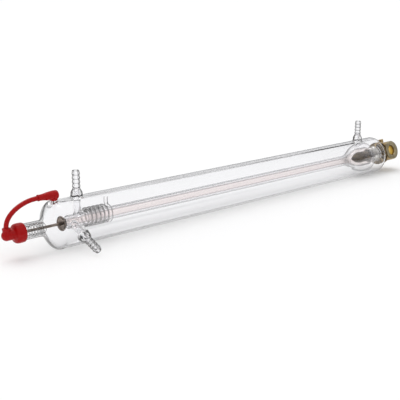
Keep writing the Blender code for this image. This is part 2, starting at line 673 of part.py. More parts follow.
def make_starter(envelope):
    """Glass stub on the envelope where the shoulder begins, with the starter pin through it."""
    origin = Vector((STARTER_X, 0.0, 0.0))
    top = ENVELOPE_RADIUS + STARTER_HEIGHT
    low = ENVELOPE_RADIUS - STARTER_FOOT_RADIUS - 0.7 * MM
    inner_end = ENVELOPE_RADIUS - ENVELOPE_WALL - 0.7 * MM
    outline = [(low, 0.0), (low, STARTER_FOOT_RADIUS),
               (ENVELOPE_RADIUS + 0.05 * STARTER_HEIGHT, STARTER_FOOT_RADIUS),
               (ENVELOPE_RADIUS + 0.15 * STARTER_HEIGHT,
                0.5 * (STARTER_FOOT_RADIUS + STARTER_RADIUS)),
               (ENVELOPE_RADIUS + 0.3 * STARTER_HEIGHT, STARTER_RADIUS), (top, STARTER_RADIUS),
               (top, 0.0)]
    stub = lathe("starter_stub", outline, GLASS, 20, UP, origin, closed=False)
    boolean(stub, shoulder_saddle())
    stem = cutter("starter_stem", STARTER_STEM_RADIUS, inner_end, top - CUT_MARGIN, UP, origin, 20)
    boolean(stub, stem, "UNION")
    boolean(stub, cutter("starter_bore", STARTER_PIN_RADIUS + GAP, inner_end - CUT_MARGIN,
                         top + CUT_MARGIN, UP, origin, 12))
    boolean(envelope, cutter("starter_wall_hole", STARTER_STEM_RADIUS + GAP, low,
                             ENVELOPE_RADIUS + CUT_MARGIN, UP, origin, 20))
    pin = disc_outline(top - STARTER_PIN_LENGTH, top, STARTER_PIN_RADIUS)
    lathe("starter_pin", pin, NICKEL, 12, UP, origin, closed=False)


# Red boots and lead

def ball_outline(radius):
    """Half circle from pole to pole."""
    return [(-radius * math.cos(math.pi * i / 12), radius * math.sin(math.pi * i / 12))
            for i in range(13)]


def make_anode_boot():
    """Red cap over the mirror, with an elbow that holds the lead."""
    inner = NECK_RADIUS + GAP
    elbow = LEAD_ROUTE[0][0]
    outline = [(elbow, 0.0), (elbow, BARREL_RADIUS), (BOOT_LEFT - 0.8 * MM, BARREL_RADIUS),
               (BOOT_LEFT, 1.06 * BARREL_RADIUS), (BOOT_LEFT + 0.4 * BOOT_FACE, 0.91 * BOOT_RADIUS),
               (BOOT_FLOOR + 0.3 * BOOT_FACE, BOOT_RADIUS), (BOOT_RIGHT, 0.965 * BOOT_RADIUS),
               (BOOT_RIGHT, inner), (BOOT_FLOOR, inner), (BOOT_FLOOR, 0.0)]
    boot = lathe("anode_boot", outline, SILICONE, 32, closed=False)
    place = Vector((elbow, 0.0, 0.0))
    ball = lathe("anode_boot_ball", ball_outline(BALL_RADIUS), None, 24, UP, place, closed=False)
    boolean(boot, hide_tool(ball), "UNION")
    socket = lathe("anode_boot_socket", disc_outline(0.0, SOCKET_HEIGHT, SOCKET_RADIUS, 0.5 * MM),
                   None, 20, UP, place, closed=False)
    boolean(boot, hide_tool(socket), "UNION")
    hole_floor = LEAD_ROUTE[0][1] - GAP
    boolean(boot, cutter("anode_boot_lead_hole", LEAD_RADIUS + 2 * GAP, hole_floor,
                         SOCKET_HEIGHT + CUT_MARGIN, UP, place, 16))
    return boot


def make_lead():
    """Red high voltage lead between the two boots."""
    line = smooth_line([Vector((x, 0.0, z)) for x, z in LEAD_ROUTE], LEAD_POINT_COUNT)
    return swept_tube("high_voltage_lead", line, LEAD_RADIUS, 2, SILICONE)


def make_starter_boot():
    """Red boot that lies over the starter stub and takes the lead's other end."""
    end_x, height = LEAD_ROUTE[-1]
    left = end_x - LEAD_INSERTION
    right = left + STARTER_BOOT_LENGTH
    lip = STARTER_BOOT_NECK + 0.4 * MM
    outline = [(left, 0.0), (left, lip), (left + 1.4 * MM, lip),
               (left + 2.0 * MM, STARTER_BOOT_NECK),
               (left + 0.26 * STARTER_BOOT_LENGTH, STARTER_BOOT_NECK + 0.3 * MM),
               (left + 0.5 * STARTER_BOOT_LENGTH, 0.9 * STARTER_BOOT_RADIUS),
               (left + 0.7 * STARTER_BOOT_LENGTH, STARTER_BOOT_RADIUS),
               (left + 0.88 * STARTER_BOOT_LENGTH, STARTER_BOOT_RADIUS),
               (left + 0.95 * STARTER_BOOT_LENGTH, 0.9 * STARTER_BOOT_RADIUS),
               (left + 0.99 * STARTER_BOOT_LENGTH, 0.7 * STARTER_BOOT_RADIUS),
               (right, 0.45 * STARTER_BOOT_RADIUS), (right, 0.0)]
    axis_place = Vector((0.0, 0.0, height))
    boot = lathe("starter_boot", outline, SILICONE, 24, ALONG_X, axis_place, closed=False)
    top = ENVELOPE_RADIUS + STARTER_HEIGHT
    boolean(boot, cutter("starter_boot_stub_hole", STARTER_RADIUS + GAP, ENVELOPE_RADIUS,
                         top + GAP, UP, Vector((STARTER_X, 0.0, 0.0)), 20))
    boolean(boot, cutter("starter_boot_lead_hole", LEAD_RADIUS + GAP, left - CUT_MARGIN,
                         end_x + GAP, ALONG_X, axis_place, 16))
    return boot


# Output end

def rib(x):
    """Points of one raised ring on the sleeve, left to right."""
    half = RIB_WIDTH / 2
    return [(x - half, SLEEVE_RADIUS), (x - 0.4 * half, RIB_RADIUS),
            (x + 0.4 * half, RIB_RADIUS), (x + half, SLEEVE_RADIUS)]


def adjuster_places():
    """Middle of each adjusting screw on the flange, as (Y, Z)."""
    for i in range(ADJUSTER_COUNT):
        angle = math.pi / 2 + 2 * math.pi * i / ADJUSTER_COUNT
        yield ADJUSTER_CIRCLE * math.cos(angle), ADJUSTER_CIRCLE * math.sin(angle)


def make_sleeve():
    """Plated sleeve over the end of the cathode chamber."""
    bore = CHAMBER_NECK_RADIUS + GAP
    outline = [(SLEEVE_LEFT, SLEEVE_RADIUS)]
    for setback in RIB_SETBACKS:
        outline += rib(SLEEVE_LEFT + setback)
    outline += [(SLEEVE_RIGHT, SLEEVE_RADIUS), (SLEEVE_RIGHT, bore), (SLEEVE_LEFT, bore)]
    lathe("end_sleeve", outline, STEEL, 26)


def make_adjusters(body):
    """Adjusting plate on the sleeve and its screws, which run into the head's flange."""
    right = ADJUSTER_PLATE_RIGHT
    left = ADJUSTER_PLATE_LEFT
    edge = 0.4 * MM
    outline = [(left, SLEEVE_RADIUS + GAP), (left, ADJUSTER_PLATE_RADIUS - edge),
               (left + edge, ADJUSTER_PLATE_RADIUS), (right - edge, ADJUSTER_PLATE_RADIUS),
               (right, ADJUSTER_PLATE_RADIUS - edge), (right, SLEEVE_RADIUS + GAP)]
    plate = lathe("adjusting_plate", outline, BRASS, 38)
    head = ADJUSTER_LEFT + ADJUSTER_LENGTH
    tip = BODY_LEFT + FLANGE_THICKNESS - 3 * GAP
    for i, (y, z) in enumerate(adjuster_places()):
        place = Vector((0.0, y, z))
        outline = [(head - ADJUSTER_LENGTH, 0.0), (head - ADJUSTER_LENGTH, ADJUSTER_RADIUS - edge),
                   (head - ADJUSTER_LENGTH + edge, ADJUSTER_RADIUS), (head, ADJUSTER_RADIUS),
                   (head, ADJUSTER_SHANK), (tip, ADJUSTER_SHANK), (tip, 0.0)]
        lathe(f"adjusting_screw_{i + 1}", outline, BRASS, 14, ALONG_X, place, closed=False)
        hole = cutter(f"adjuster_hole_{i + 1}", ADJUSTER_SHANK + GAP, left - CUT_MARGIN, tip + GAP,
                      ALONG_X, place, 12)
        boolean(plate, hole)
        boolean(body, hole)


def make_body():
    """Turning head: a cross cylinder with two flats and a flange, bored for beam and port."""
    centre = Vector((BODY_X, 0.0, 0.0))
    outline = disc_outline(-BODY_BACK, BODY_FRONT + GAP, BODY_RADIUS, 0.8 * MM)
    body = lathe("head_body", outline, BRASS, 40, PORT_AXIS, centre, closed=False)
    turn = turn_to(PORT_AXIS, Vector())
    block = 3 * BODY_RADIUS
    behind_flange = BODY_FLAT - FLANGE_THICKNESS / 2
    for name, side, distance in (("left_flat", -1, behind_flange), ("right_flat", 1, BODY_FLAT)):
        place = centre + ALONG_X * side * (distance + block / 2)
        boolean(body, box_cutter(name, place, (block, block, block), turn))
    flange = lathe("head_flange", disc_outline(BODY_LEFT, BODY_LEFT + FLANGE_THICKNESS,
                                               ADJUSTER_PLATE_RADIUS, 0.4 * MM),
                   None, 38, closed=False)
    boolean(body, hide_tool(flange), "UNION")
    boolean(body, cutter("ring_face", RING_RADIUS + GAP, BODY_FRONT, 2 * BODY_FRONT, PORT_AXIS,
                         centre, 36))
    boolean(body, cutter("beam_bore", BEAM_RADIUS, BODY_LEFT - CUT_MARGIN,
                         BODY_X + BODY_FLAT + CUT_MARGIN, ALONG_X, Vector(), 24))
    boolean(body, cutter("port_bore", PORT_RADIUS, 0.0, BODY_FRONT + CUT_MARGIN, PORT_AXIS,
                         centre, 22))
    seat = BODY_FRONT - WINDOW_RECESS - WINDOW_THICKNESS - GAP
    boolean(body, cutter("window_seat", WINDOW_RADIUS + GAP, seat, BODY_FRONT + CUT_MARGIN,
                         PORT_AXIS, centre, 34))
    boolean(body, cutter("clamp_hole", CLAMP_SHANK + GAP, BODY_RADIUS - CLAMP_DEPTH - GAP,
                         BODY_RADIUS + CUT_MARGIN, PORT_UP, centre, 12))
    return body


def make_port():
    """Yellow window in the head's side and the dark ring that holds it."""
    centre = Vector((BODY_X, 0.0, 0.0))
    high = BODY_FRONT - WINDOW_RECESS
    lathe("output_window", disc_outline(high - WINDOW_THICKNESS, high, WINDOW_RADIUS, 0.2 * MM),
          WINDOW, 32, PORT_AXIS, centre, closed=False)
    near = BODY_FRONT + GAP
    far = near + RING_THICKNESS
    edge = 0.6 * MM
    ring = [(near, RING_BORE), (near, RING_RADIUS), (far - edge, RING_RADIUS),
            (far, RING_RADIUS - edge), (far, RING_BORE + edge), (far - edge, RING_BORE)]
    lathe("window_ring", ring, BRONZE, 36, PORT_AXIS, centre)


def make_fold_mirror():
    """Copper plug in the beam bore, cut at 45 degrees to send the beam out of the port."""
    centre = Vector((BODY_X, 0.0, 0.0))
    right = BODY_X + BODY_FLAT
    plug = lathe("fold_mirror", disc_outline(BODY_X - BEAM_RADIUS - CUT_MARGIN, right,
                                             BEAM_RADIUS - GAP),
                 MIRROR, 24, closed=False)
    facing = (PORT_AXIS - ALONG_X).normalized()
    block = 4 * BEAM_RADIUS
    boolean(plug, box_cutter("mirror_face", centre + facing * block / 2, (block, block, block),
                             turn_to(facing, Vector())))
    return plug


def make_clamp_screw():
    """Knurled clamp screw on top of the head."""
    low = BODY_RADIUS - CLAMP_DEPTH
    base = BODY_RADIUS + GAP
    top = base + CLAMP_HEIGHT
    edge = 0.5 * MM
    outline = [(low, 0.0), (low, CLAMP_SHANK), (base, CLAMP_SHANK), (base, CLAMP_RADIUS - edge),
               (base + edge, CLAMP_RADIUS), (top - edge, CLAMP_RADIUS), (top, CLAMP_RADIUS - edge),
               (top, 0.0)]
    lathe("clamp_screw", outline, BRASS, 20, PORT_UP, Vector((BODY_X, 0.0, 0.0)), closed=False)


def make_end_plate(body):
    """Round plate on the head's far side, held by four sunk screws."""
    edge = 0.4 * MM
    plate = lathe("end_plate", disc_outline(-PLATE_THICKNESS, 0.0, PLATE_RADIUS, edge), BRASS, 36,
                  closed=False)
    neck = -PLATE_SCREW_HEAD - GAP
    tip = neck - PLATE_SCREW_LENGTH
    number = 0
    for across in (-1, 1):
        for above in (-1, 1):
            number += 1
            place = (PORT_AXIS * across + PORT_UP * above) * PLATE_SCREW_OFFSET
            boolean(plate, cutter(f"plate_screw_seat_{number}", PLATE_SCREW_RADIUS + GAP,
                                  neck - GAP, CUT_MARGIN, ALONG_X, place, 16))
            hole = cutter(f"plate_screw_hole_{number}", PLATE_SCREW_SHANK + GAP, tip - GAP,
                          0.0, ALONG_X, place, 12)
            boolean(plate, hole)
            boolean(body, hole)
            outline = [(tip, 0.0), (tip, PLATE_SCREW_SHANK), (neck, PLATE_SCREW_SHANK),
                       (neck, PLATE_SCREW_RADIUS), (-GAP, PLATE_SCREW_RADIUS),
                       (-GAP, 0.55 * PLATE_SCREW_RADIUS),
                       (-0.6 * PLATE_SCREW_HEAD, 0.55 * PLATE_SCREW_RADIUS),
                       (-0.6 * PLATE_SCREW_HEAD, 0.0)]
            lathe(f"end_plate_screw_{number}", outline, STEEL, 12, ALONG_X, place, closed=False)


def build():
    """Make every piece of the tube."""
    envelope = make_envelope()
    jacket = make_jacket()
    make_discharge_tube()
    make_cathode()
    make_coil()
    make_nipples(envelope, jacket)
    make_anode()
    make_seal_and_bellows()
    make_rear_mirror()
    make_starter(envelope)
    make_anode_boot()
    make_lead()
    make_starter_boot()
    make_sleeve()
    body = make_body()
    make_adjusters(body)
    make_port()
    make_fold_mirror()
    make_clamp_screw()
    make_end_plate(body)


build()
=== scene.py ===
"""Sealed glass laser tube: finishes, finer pieces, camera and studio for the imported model."""

from __future__ import annotations

import logging
import math
from collections.abc import Callable
from dataclasses import dataclass, field
from enum import Enum

import bpy
from mathutils import Matrix, Vector


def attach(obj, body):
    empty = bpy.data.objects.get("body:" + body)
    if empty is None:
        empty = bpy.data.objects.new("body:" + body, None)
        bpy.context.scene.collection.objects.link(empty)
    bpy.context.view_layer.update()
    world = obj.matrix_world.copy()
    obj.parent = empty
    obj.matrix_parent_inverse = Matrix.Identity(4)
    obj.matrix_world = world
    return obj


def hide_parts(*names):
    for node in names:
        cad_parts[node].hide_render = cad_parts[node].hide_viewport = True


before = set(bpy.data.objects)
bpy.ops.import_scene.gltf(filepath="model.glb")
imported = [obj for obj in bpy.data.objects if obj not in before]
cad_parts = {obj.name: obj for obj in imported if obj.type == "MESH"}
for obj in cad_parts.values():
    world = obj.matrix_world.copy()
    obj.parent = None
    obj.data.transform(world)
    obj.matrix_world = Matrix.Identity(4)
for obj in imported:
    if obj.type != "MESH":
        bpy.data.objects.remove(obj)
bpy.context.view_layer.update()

Triple = tuple[float, float, float]
Colour = Triple
Span = tuple[float, float]
Outline = list[Span]
Settings = tuple[tuple[str, object], ...]
Item = bpy.types.Object
Material = bpy.types.Material
Node = bpy.types.Node
Socket = bpy.types.NodeSocket

LOG = logging.getLogger("laser_tube")
MM = 0.001
WORKED_SHADE = "worked"
ALONG_X = Vector((1.0, 0.0, 0.0))
UP = Vector((0.0, 0.0, 1.0))
MERGE = 0.02 * MM
WELD = 0.01 * MM
FLAT_ANGLE = math.radians(1.0)
EDGE_ANGLE = math.radians(35.0)
GLASS_IOR = 1.47
FULLY_DARK = 0.3
GLASS_RELIEF = 1.0 * MM
FINE_RELIEF = 0.05 * MM


# Node helpers

class Nodes:
    """A node tree with short ways to fill it."""

    def __init__(self, tree: bpy.types.NodeTree) -> None:
        """Take the tree and empty it."""
        self.tree = tree
        tree.nodes.clear()

    def add(self, kind: str, **settings: object) -> Node:
        """Add a node and set its properties.

        Args:
            kind: the node's type name.
            **settings: properties of the node.

        Returns:
            The new node.
        """
        node = self.tree.nodes.new(kind)
        for name, value in settings.items():
            setattr(node, name, value)
        return node

    def link(self, source: Socket, target: Socket) -> None:
        """Join an output to an input."""
        self.tree.links.new(source, target)

    def fill(self, node: Node, **values: object) -> Node:
        """Set a node's inputs, or link them where the value is a socket.

        Args:
            node: the node.
            **values: by the input's name, with underscores for spaces.

        Returns:
            The node.
        """
        for name, value in values.items():
            target = node.inputs[name.replace("_", " ")]
            if isinstance(value, bpy.types.NodeSocket):
                self.link(value, target)
            else:
                target.default_value = (*value, 1.0) if target.type == "RGBA" else value
        return node

    def spread(self, value: Socket, kind: str = "LINEAR", **limits: object) -> Socket:
        """Map a value from one range to another.

        Args:
            value: the output that is mapped.
            kind: the interpolation.
            **limits: From_Min, From_Max, To_Min and To_Max.

        Returns:
            The mapped output.
        """
        node = self.add("ShaderNodeMapRange", interpolation_type=kind)
        return self.fill(node, Value=value, **limits).outputs["Result"]

    def blend(self, factor: Socket, first: Colour | Socket, second: Colour | Socket) -> Socket:
        """Colour between two others."""
        node = self.add("ShaderNodeMix", data_type="RGBA")
        return self.fill(node, Factor=factor, A=first, B=second).outputs["Result"]

    def noise(self, scale: Socket | float, detail: float, stretch: Triple | None = None) -> Socket:
        """Noise on object coordinates.

        Args:
            scale: its scale.
            detail: its octaves.
            stretch: factors on the coordinates.

        Returns:
            The noise.
        """
        spot = self.add("ShaderNodeTexCoord").outputs["Object"]
        if stretch:
            node = self.fill(self.add("ShaderNodeMapping"), Vector=spot, Scale=stretch)
            spot = node.outputs["Vector"]
        node = self.add("ShaderNodeTexNoise")
        return self.fill(node, Vector=spot, Scale=scale, Detail=detail).outputs["Fac"]

    def bump(self, shader: Node, height: Socket, strength: float, distance: float) -> None:
        """Give a shader a relief."""
        node = self.fill(self.add("ShaderNodeBump"), Height=height, Strength=strength,
                         Distance=distance)
        self.fill(shader, Normal=node.outputs["Normal"])


class Pattern(Enum):
    """The shared effects, by the name of their node group."""

    RIPPLE = "blown_glass_ripple"
    TURNING = "turned_metal_marks"
    MOULDED = "moulded_rubber_skin"


@dataclass
class PatternGroups:
    """Shared node groups for the small variations of the finishes."""

    groups: dict[Pattern, bpy.types.NodeTree] = field(default_factory=dict)

    def start(self, pattern: Pattern, inputs: dict[str, float],
              outputs: list[str]) -> tuple[Nodes, Node, Node]:
        """Make an empty group with its sockets.

        Args:
            pattern: which effect the group is.
            inputs: number inputs with their start values.
            outputs: number outputs.

        Returns:
            The group's nodes, its input node and its output node.
        """
        tree = bpy.data.node_groups.new(pattern.value, "ShaderNodeTree")
        for name, value in inputs.items():
            socket = tree.interface.new_socket(name, in_out="INPUT", socket_type="NodeSocketFloat")
            socket.default_value = value
        for name in outputs:
            tree.interface.new_socket(name, in_out="OUTPUT", socket_type="NodeSocketFloat")
        nodes = Nodes(tree)
        self.groups[pattern] = tree
        return nodes, nodes.add("NodeGroupInput"), nodes.add("NodeGroupOutput")

    def build_ripple(self) -> None:
        """Slow waves of drawn and blown glass, and faint handling marks."""
        nodes, given, out = self.start(Pattern.RIPPLE, {"Scale": 60.0, "Haze": 0.02},
                                       ["Height", "Haze"])
        wave = nodes.noise(given.outputs["Scale"], detail=1.0, stretch=(0.12, 1.0, 1.0))
        marks = nodes.noise(45.0, detail=4.0)
        nodes.fill(out, Height=wave, Haze=nodes.spread(marks, From_Min=0.5, From_Max=0.75,
                                                       To_Max=given.outputs["Haze"]))

    def build_turning(self) -> None:
        """Fine tool marks, and a slow tarnish mask."""
        nodes, given, out = self.start(Pattern.TURNING, {"Scale": 900.0, "Tarnish scale": 160.0},
                                       ["Height", "Tarnish"])
        marks = nodes.noise(given.outputs["Scale"], detail=2.0, stretch=(1.0, 0.08, 0.08))
        tarnish = nodes.noise(given.outputs["Tarnish scale"], detail=5.0)
        nodes.fill(out, Height=marks, Tarnish=nodes.spread(tarnish, From_Min=0.38, From_Max=0.68))

    def build_moulded(self) -> None:
        """Soft unevenness and the fine skin of moulded rubber."""
        nodes, given, out = self.start(Pattern.MOULDED, {"Scale": 2600.0}, ["Height", "Cloud"])
        skin = nodes.noise(given.outputs["Scale"], detail=2.0)
        nodes.fill(out, Height=skin, Cloud=nodes.noise(120.0, detail=3.0))

    def build(self) -> None:
        """Make every group."""
        self.build_ripple()
        self.build_turning()
        self.build_moulded()

    def use(self, nodes: Nodes, pattern: Pattern, **values: object) -> Node:
        """Place a group in a material and set its inputs."""
        return nodes.fill(nodes.add("ShaderNodeGroup", node_tree=self.groups[pattern]), **values)


# Finishes

def new_material(name: str) -> tuple[Material, Nodes, Node, Node]:
    """Material with a Principled shader and an output.

    Args:
        name: the material's name.

    Returns:
        The material, its nodes, the shader and the output node.
    """
    material = bpy.data.materials.new(name)
    material.use_nodes = True
    nodes = Nodes(material.node_tree)
    shader = nodes.add("ShaderNodeBsdfPrincipled")
    out = nodes.fill(nodes.add("ShaderNodeOutputMaterial"), Surface=shader.outputs["BSDF"])
    return material, nodes, shader, out


@dataclass(frozen=True)
class GlassFinish:
    """Clear borosilicate glass that lets most light through to its shadow, with painted shade on
    its edges.
    """

    name: str
    tint: Colour
    # edge and the worked edge colour are painted shade, laid where the glass turns away from the
    # view; the rim spans set how wide it is
    edge: Colour
    shade_rim: Span
    worked_edge_shade: Colour = (0.03, 0.03, 0.028)
    worked_shade_rim: Span = (0.14, 0.5)
    ripple: float = 0.03
    ripple_scale: float = 60.0
    haze: float = 0.01
    shadow: float = 0.94
    gloss: float = 0.3

    def make(self, groups: PatternGroups) -> Material:
        """Build the material: clear in the middle, with painted shade at its rims where it turns
        away from the view, darker and wider where it was flame worked.

        Args:
            groups: the shared node groups.

        Returns:
            The material.
        """
        material, nodes, shader, out = new_material(self.name)
        worked = nodes.add("ShaderNodeAttribute", attribute_name=WORKED_SHADE).outputs["Fac"]
        glancing = nodes.fill(nodes.add("ShaderNodeLayerWeight"), Blend=0.5).outputs["Facing"]
        start, end = (nodes.spread(worked, To_Min=plain, To_Max=melted)
                      for plain, melted in zip(self.shade_rim, self.worked_shade_rim))
        # Painted edge shade: the base colour goes dark where the surface turns away from the view.
        edge_shade_amount = nodes.spread(glancing, "SMOOTHSTEP", From_Min=start, From_Max=end)
        edge = nodes.blend(nodes.spread(worked, From_Max=FULLY_DARK), self.edge, self.worked_edge_shade)
        pattern = groups.use(nodes, Pattern.RIPPLE, Scale=self.ripple_scale, Haze=self.haze)
        nodes.fill(shader, Base_Color=nodes.blend(edge_shade_amount, self.tint, edge), IOR=GLASS_IOR,
                   Specular_Tint=(self.gloss,) * 3, Transmission_Weight=1.0,
                   Roughness=pattern.outputs["Haze"])
        nodes.bump(shader, pattern.outputs["Height"], self.ripple, GLASS_RELIEF)
        path = nodes.add("ShaderNodeLightPath")
        clear = nodes.fill(nodes.add("ShaderNodeBsdfTransparent"), Color=(self.shadow,) * 3)
        unseen = nodes.add("ShaderNodeMath", operation="MAXIMUM")
        nodes.link(path.outputs["Is Shadow Ray"], unseen.inputs[0])
        nodes.link(path.outputs["Is Diffuse Ray"], unseen.inputs[1])
        mix = nodes.fill(nodes.add("ShaderNodeMixShader"), Fac=unseen.outputs["Value"])
        nodes.link(shader.outputs["BSDF"], mix.inputs[1])
        nodes.link(clear.outputs["BSDF"], mix.inputs[2])
        nodes.fill(out, Surface=mix.outputs["Shader"])
        return material


@dataclass(frozen=True)
class SolidFinish:
    """Opaque surface that wanders between two colours, with a fine relief."""

    name: str
    first: Colour
    second: Colour
    roughness: float = 0.25
    change: float = 0.15
    relief: float = 0.15
    scales: Settings = ()
    pattern: Pattern = Pattern.MOULDED
    mask: str = "Cloud"
    fixed: Settings = ()

    def make(self, groups: PatternGroups) -> Material:
        """Build the material.

        Args:
            groups: the shared node groups.

        Returns:
            The material.
        """
        material, nodes, shader, _ = new_material(self.name)
        pattern = groups.use(nodes, self.pattern, **dict(self.scales))
        mask = pattern.outputs[self.mask]
        rough = self.roughness
        if self.change:
            rough = nodes.spread(mask, To_Min=self.roughness, To_Max=self.roughness + self.change)
        nodes.fill(shader, Base_Color=nodes.blend(mask, self.first, self.second), Roughness=rough,
                   **dict(self.fixed))
        if self.relief:
            nodes.bump(shader, pattern.outputs["Height"], self.relief, FINE_RELIEF)
        return material


@dataclass(frozen=True)
class MetalFinish(SolidFinish):
    """Turned metal with tool marks and some tarnish."""

    pattern: Pattern = Pattern.TURNING
    mask: str = "Tarnish"
    fixed: Settings = (("Metallic", 1.0),)


@dataclass(frozen=True)
class RubberFinish(SolidFinish):
    """Glossy moulded silicone rubber."""

    roughness: float = 0.22
    change: float = 0.2
    relief: float = 0.12
    fixed: Settings = (("Specular_IOR_Level", 0.12), ("Subsurface_Weight", 0.08),
                       ("Subsurface_Radius", (1.0 * MM, 0.15 * MM, 0.1 * MM)),
                       ("Coat_Weight", 0.1), ("Coat_Roughness", 0.2))


@dataclass(frozen=True)
class WindowFinish(SolidFinish):
    """Polished yellow window crystal."""

    roughness: float = 0.12
    change: float = 0.0
    relief: float = 0.0
    scales: Settings = (("Scale", 900.0),)
    fixed: Settings = (("Coat_Weight", 0.6), ("Coat_Roughness", 0.03))


@dataclass
class Finishes:
    """Every material of the tube."""

    groups: PatternGroups = field(default_factory=PatternGroups)
    made: dict[str, Material] = field(default_factory=dict)

    def build(self) -> None:
        """Make the node groups and the materials."""
        self.groups.build()
        finishes = (
            # The glass edge colours are painted edge shade; worked_glass and coil_glass get
            # near-black painted outlines.
            GlassFinish("envelope_glass", tint=(0.967, 0.967, 0.975), edge=(0.66, 0.66, 0.67),
                        shade_rim=(0.64, 1.0), ripple=0.006, ripple_scale=40.0, gloss=0.45),
            GlassFinish("inner_glass", tint=(0.99, 0.985, 0.99), edge=(0.72, 0.70, 0.71),
                        shade_rim=(0.7, 1.0), worked_shade_rim=(0.56, 0.93), ripple=0.008),
            GlassFinish("bore_glass", tint=(0.985, 0.95, 0.938), edge=(0.66, 0.52, 0.48),
                        shade_rim=(0.55, 0.95), worked_shade_rim=(0.56, 0.93), ripple=0.0, haze=0.0),
            GlassFinish("worked_glass", tint=(0.99, 0.99, 0.985), edge=(0.015, 0.015, 0.013),
                        shade_rim=(0.3, 0.7), ripple=0.05, ripple_scale=220.0),
            GlassFinish("coil_glass", tint=(0.995, 0.99, 0.99), edge=(0.006, 0.005, 0.004),
                        shade_rim=(0.30, 0.68), ripple=0.04, ripple_scale=200.0, haze=0.0),
            MetalFinish("dull_nickel", (0.30, 0.25, 0.21), (0.13, 0.10, 0.085), roughness=0.28),
            MetalFinish("cathode_nickel", (0.11, 0.082, 0.045), (0.02, 0.014, 0.01),
                        roughness=0.2, scales=(("Tarnish_scale", 90.0),)),
            MetalFinish("plated_metal", (0.74, 0.73, 0.70), (0.36, 0.34, 0.31), roughness=0.1),
            MetalFinish("turned_brass", (0.50, 0.36, 0.17), (0.26, 0.18, 0.085), roughness=0.17),
            MetalFinish("dark_brass", (0.26, 0.18, 0.085), (0.12, 0.08, 0.045), roughness=0.24),
            MetalFinish("bronzed_brass", (0.40, 0.345, 0.22), (0.22, 0.18, 0.12), roughness=0.28),
            MetalFinish("gold_coating", (0.95, 0.76, 0.42), (0.90, 0.70, 0.36), roughness=0.03,
                        change=0.02, relief=0.0),
            RubberFinish("red_silicone_skin", (0.34, 0.002, 0.003), (0.42, 0.004, 0.005)),
            WindowFinish("yellow_crystal", (0.92, 0.62, 0.10), (0.62, 0.34, 0.04)),
        )
        for finish in finishes:
            self.made[finish.name] = finish.make(self.groups)

    def dress(self, item: Item, name: str) -> None:
        """Give a piece its one material."""
        item.data.materials.clear()
        item.data.materials.append(self.made[name])


# What the kept nodes wear

KEPT_NODE_FINISH: dict[str, str] = {
    "anode_seal": "worked_glass",
    "anode_tube": "dull_nickel",
    "starter_pin": "dull_nickel",
    "rear_mirror": "gold_coating",
    "fold_mirror": "gold_coating",
    **{f"end_plate_screw_{number}": "plated_metal" for number in range(1, 5)},
}


# Outlines

def on_axis(station: float) -> Vector:
    """Point of the tube's axis at a station."""
    return Vector((station, 0.0, 0.0))


def mm(points: Outline, along: float = 0.0, out: float = 0.0) -> Outline:
    """Points given in millimetres, moved along the axis and out from it."""
    return [(along + x * MM, out + r * MM) for x, r in points]


def fade(origin: float, limits: Span, value: float) -> float:
    """How far a value has gone from one limit to the other, from 0 to 1."""
    start, end = origin + limits[0], origin + limits[1]
    return min(1.0, max(0.0, (value - start) / (end - start)))


def s_curve(x_from: float, x_to: float, r_from: float, r_to: float, steps: int) -> Outline:
    """Outline between two radii that is level at both ends.

    Args:
        x_from: station of the start.
        x_to: station of the end.
        r_from: radius at the start.
        r_to: radius at the end.
        steps: number of steps.

    Returns:
        The points.
    """
    points = []
    for i in range(steps + 1):
        t = i / steps
        points.append((x_from + (x_to - x_from) * t,
                       r_from + (r_to - r_from) * (1 - math.cos(math.pi * t)) / 2))
    return points


def dome(x_from: float, length: float, radius: float, end_radius: float, steps: int) -> Outline:
    """Part of an ellipse that closes in to end_radius, towards the left if length is negative."""
    last = math.acos(end_radius / radius)
    return [(x_from + length * math.sin(last * i / steps), radius * math.cos(last * i / steps))
            for i in range(steps + 1)]


def inset(outline: Outline, wall: float) -> Outline:
    """The same line moved in by a wall's thickness.

    Args:
        outline: points from left to right.
        wall: thickness.

    Returns:
        The moved points.
    """
    moved = []
    for i, (x, r) in enumerate(outline):
        normals = []
        for a, b in ((i - 1, i), (i, i + 1)):
            if 0 <= a and b < len(outline):
                dx = outline[b][0] - outline[a][0]
                dr = outline[b][1] - outline[a][1]
                size = math.hypot(dx, dr)
                normals.append((dr / size, -dx / size))
        nx = sum(n[0] for n in normals) / len(normals)
        nr = sum(n[1] for n in normals) / len(normals)
        square = nx * nx + nr * nr
        moved.append((x + wall * nx / square, r + wall * nr / square))
    return moved


def tidy(outline: Outline) -> Outline:
    """Drop points that repeat the one before them.

    Args:
        outline: the points.

    Returns:
        The points that are left.
    """
    kept = [outline[0]]
    for point in outline[1:]:
        if math.hypot(point[0] - kept[-1][0], point[1] - kept[-1][1]) > MERGE:
            kept.append(point)
    return kept


def walled(outline: Outline, wall: float) -> Outline:
    """Closed outline of an even wall under an outer line."""
    outer = tidy(outline)
    return outer + list(reversed(inset(outer, wall)))


# Modelling

class Join(Enum):
    """How two solids are put together."""

    ADD = "UNION"
    CUT = "DIFFERENCE"


def facing(axis: Vector, origin: Vector) -> Matrix:
    """Placement that takes local Z to an axis.

    Args:
        axis: the direction.
        origin: where local zero goes.

    Returns:
        The placement.
    """
    z = axis.normalized()
    helper = ALONG_X if abs(z.dot(ALONG_X)) < 0.9 else UP
    y = z.cross(helper).normalized()
    return Matrix.Translation(origin) @ Matrix((y.cross(z), y, z)).transposed().to_4x4()


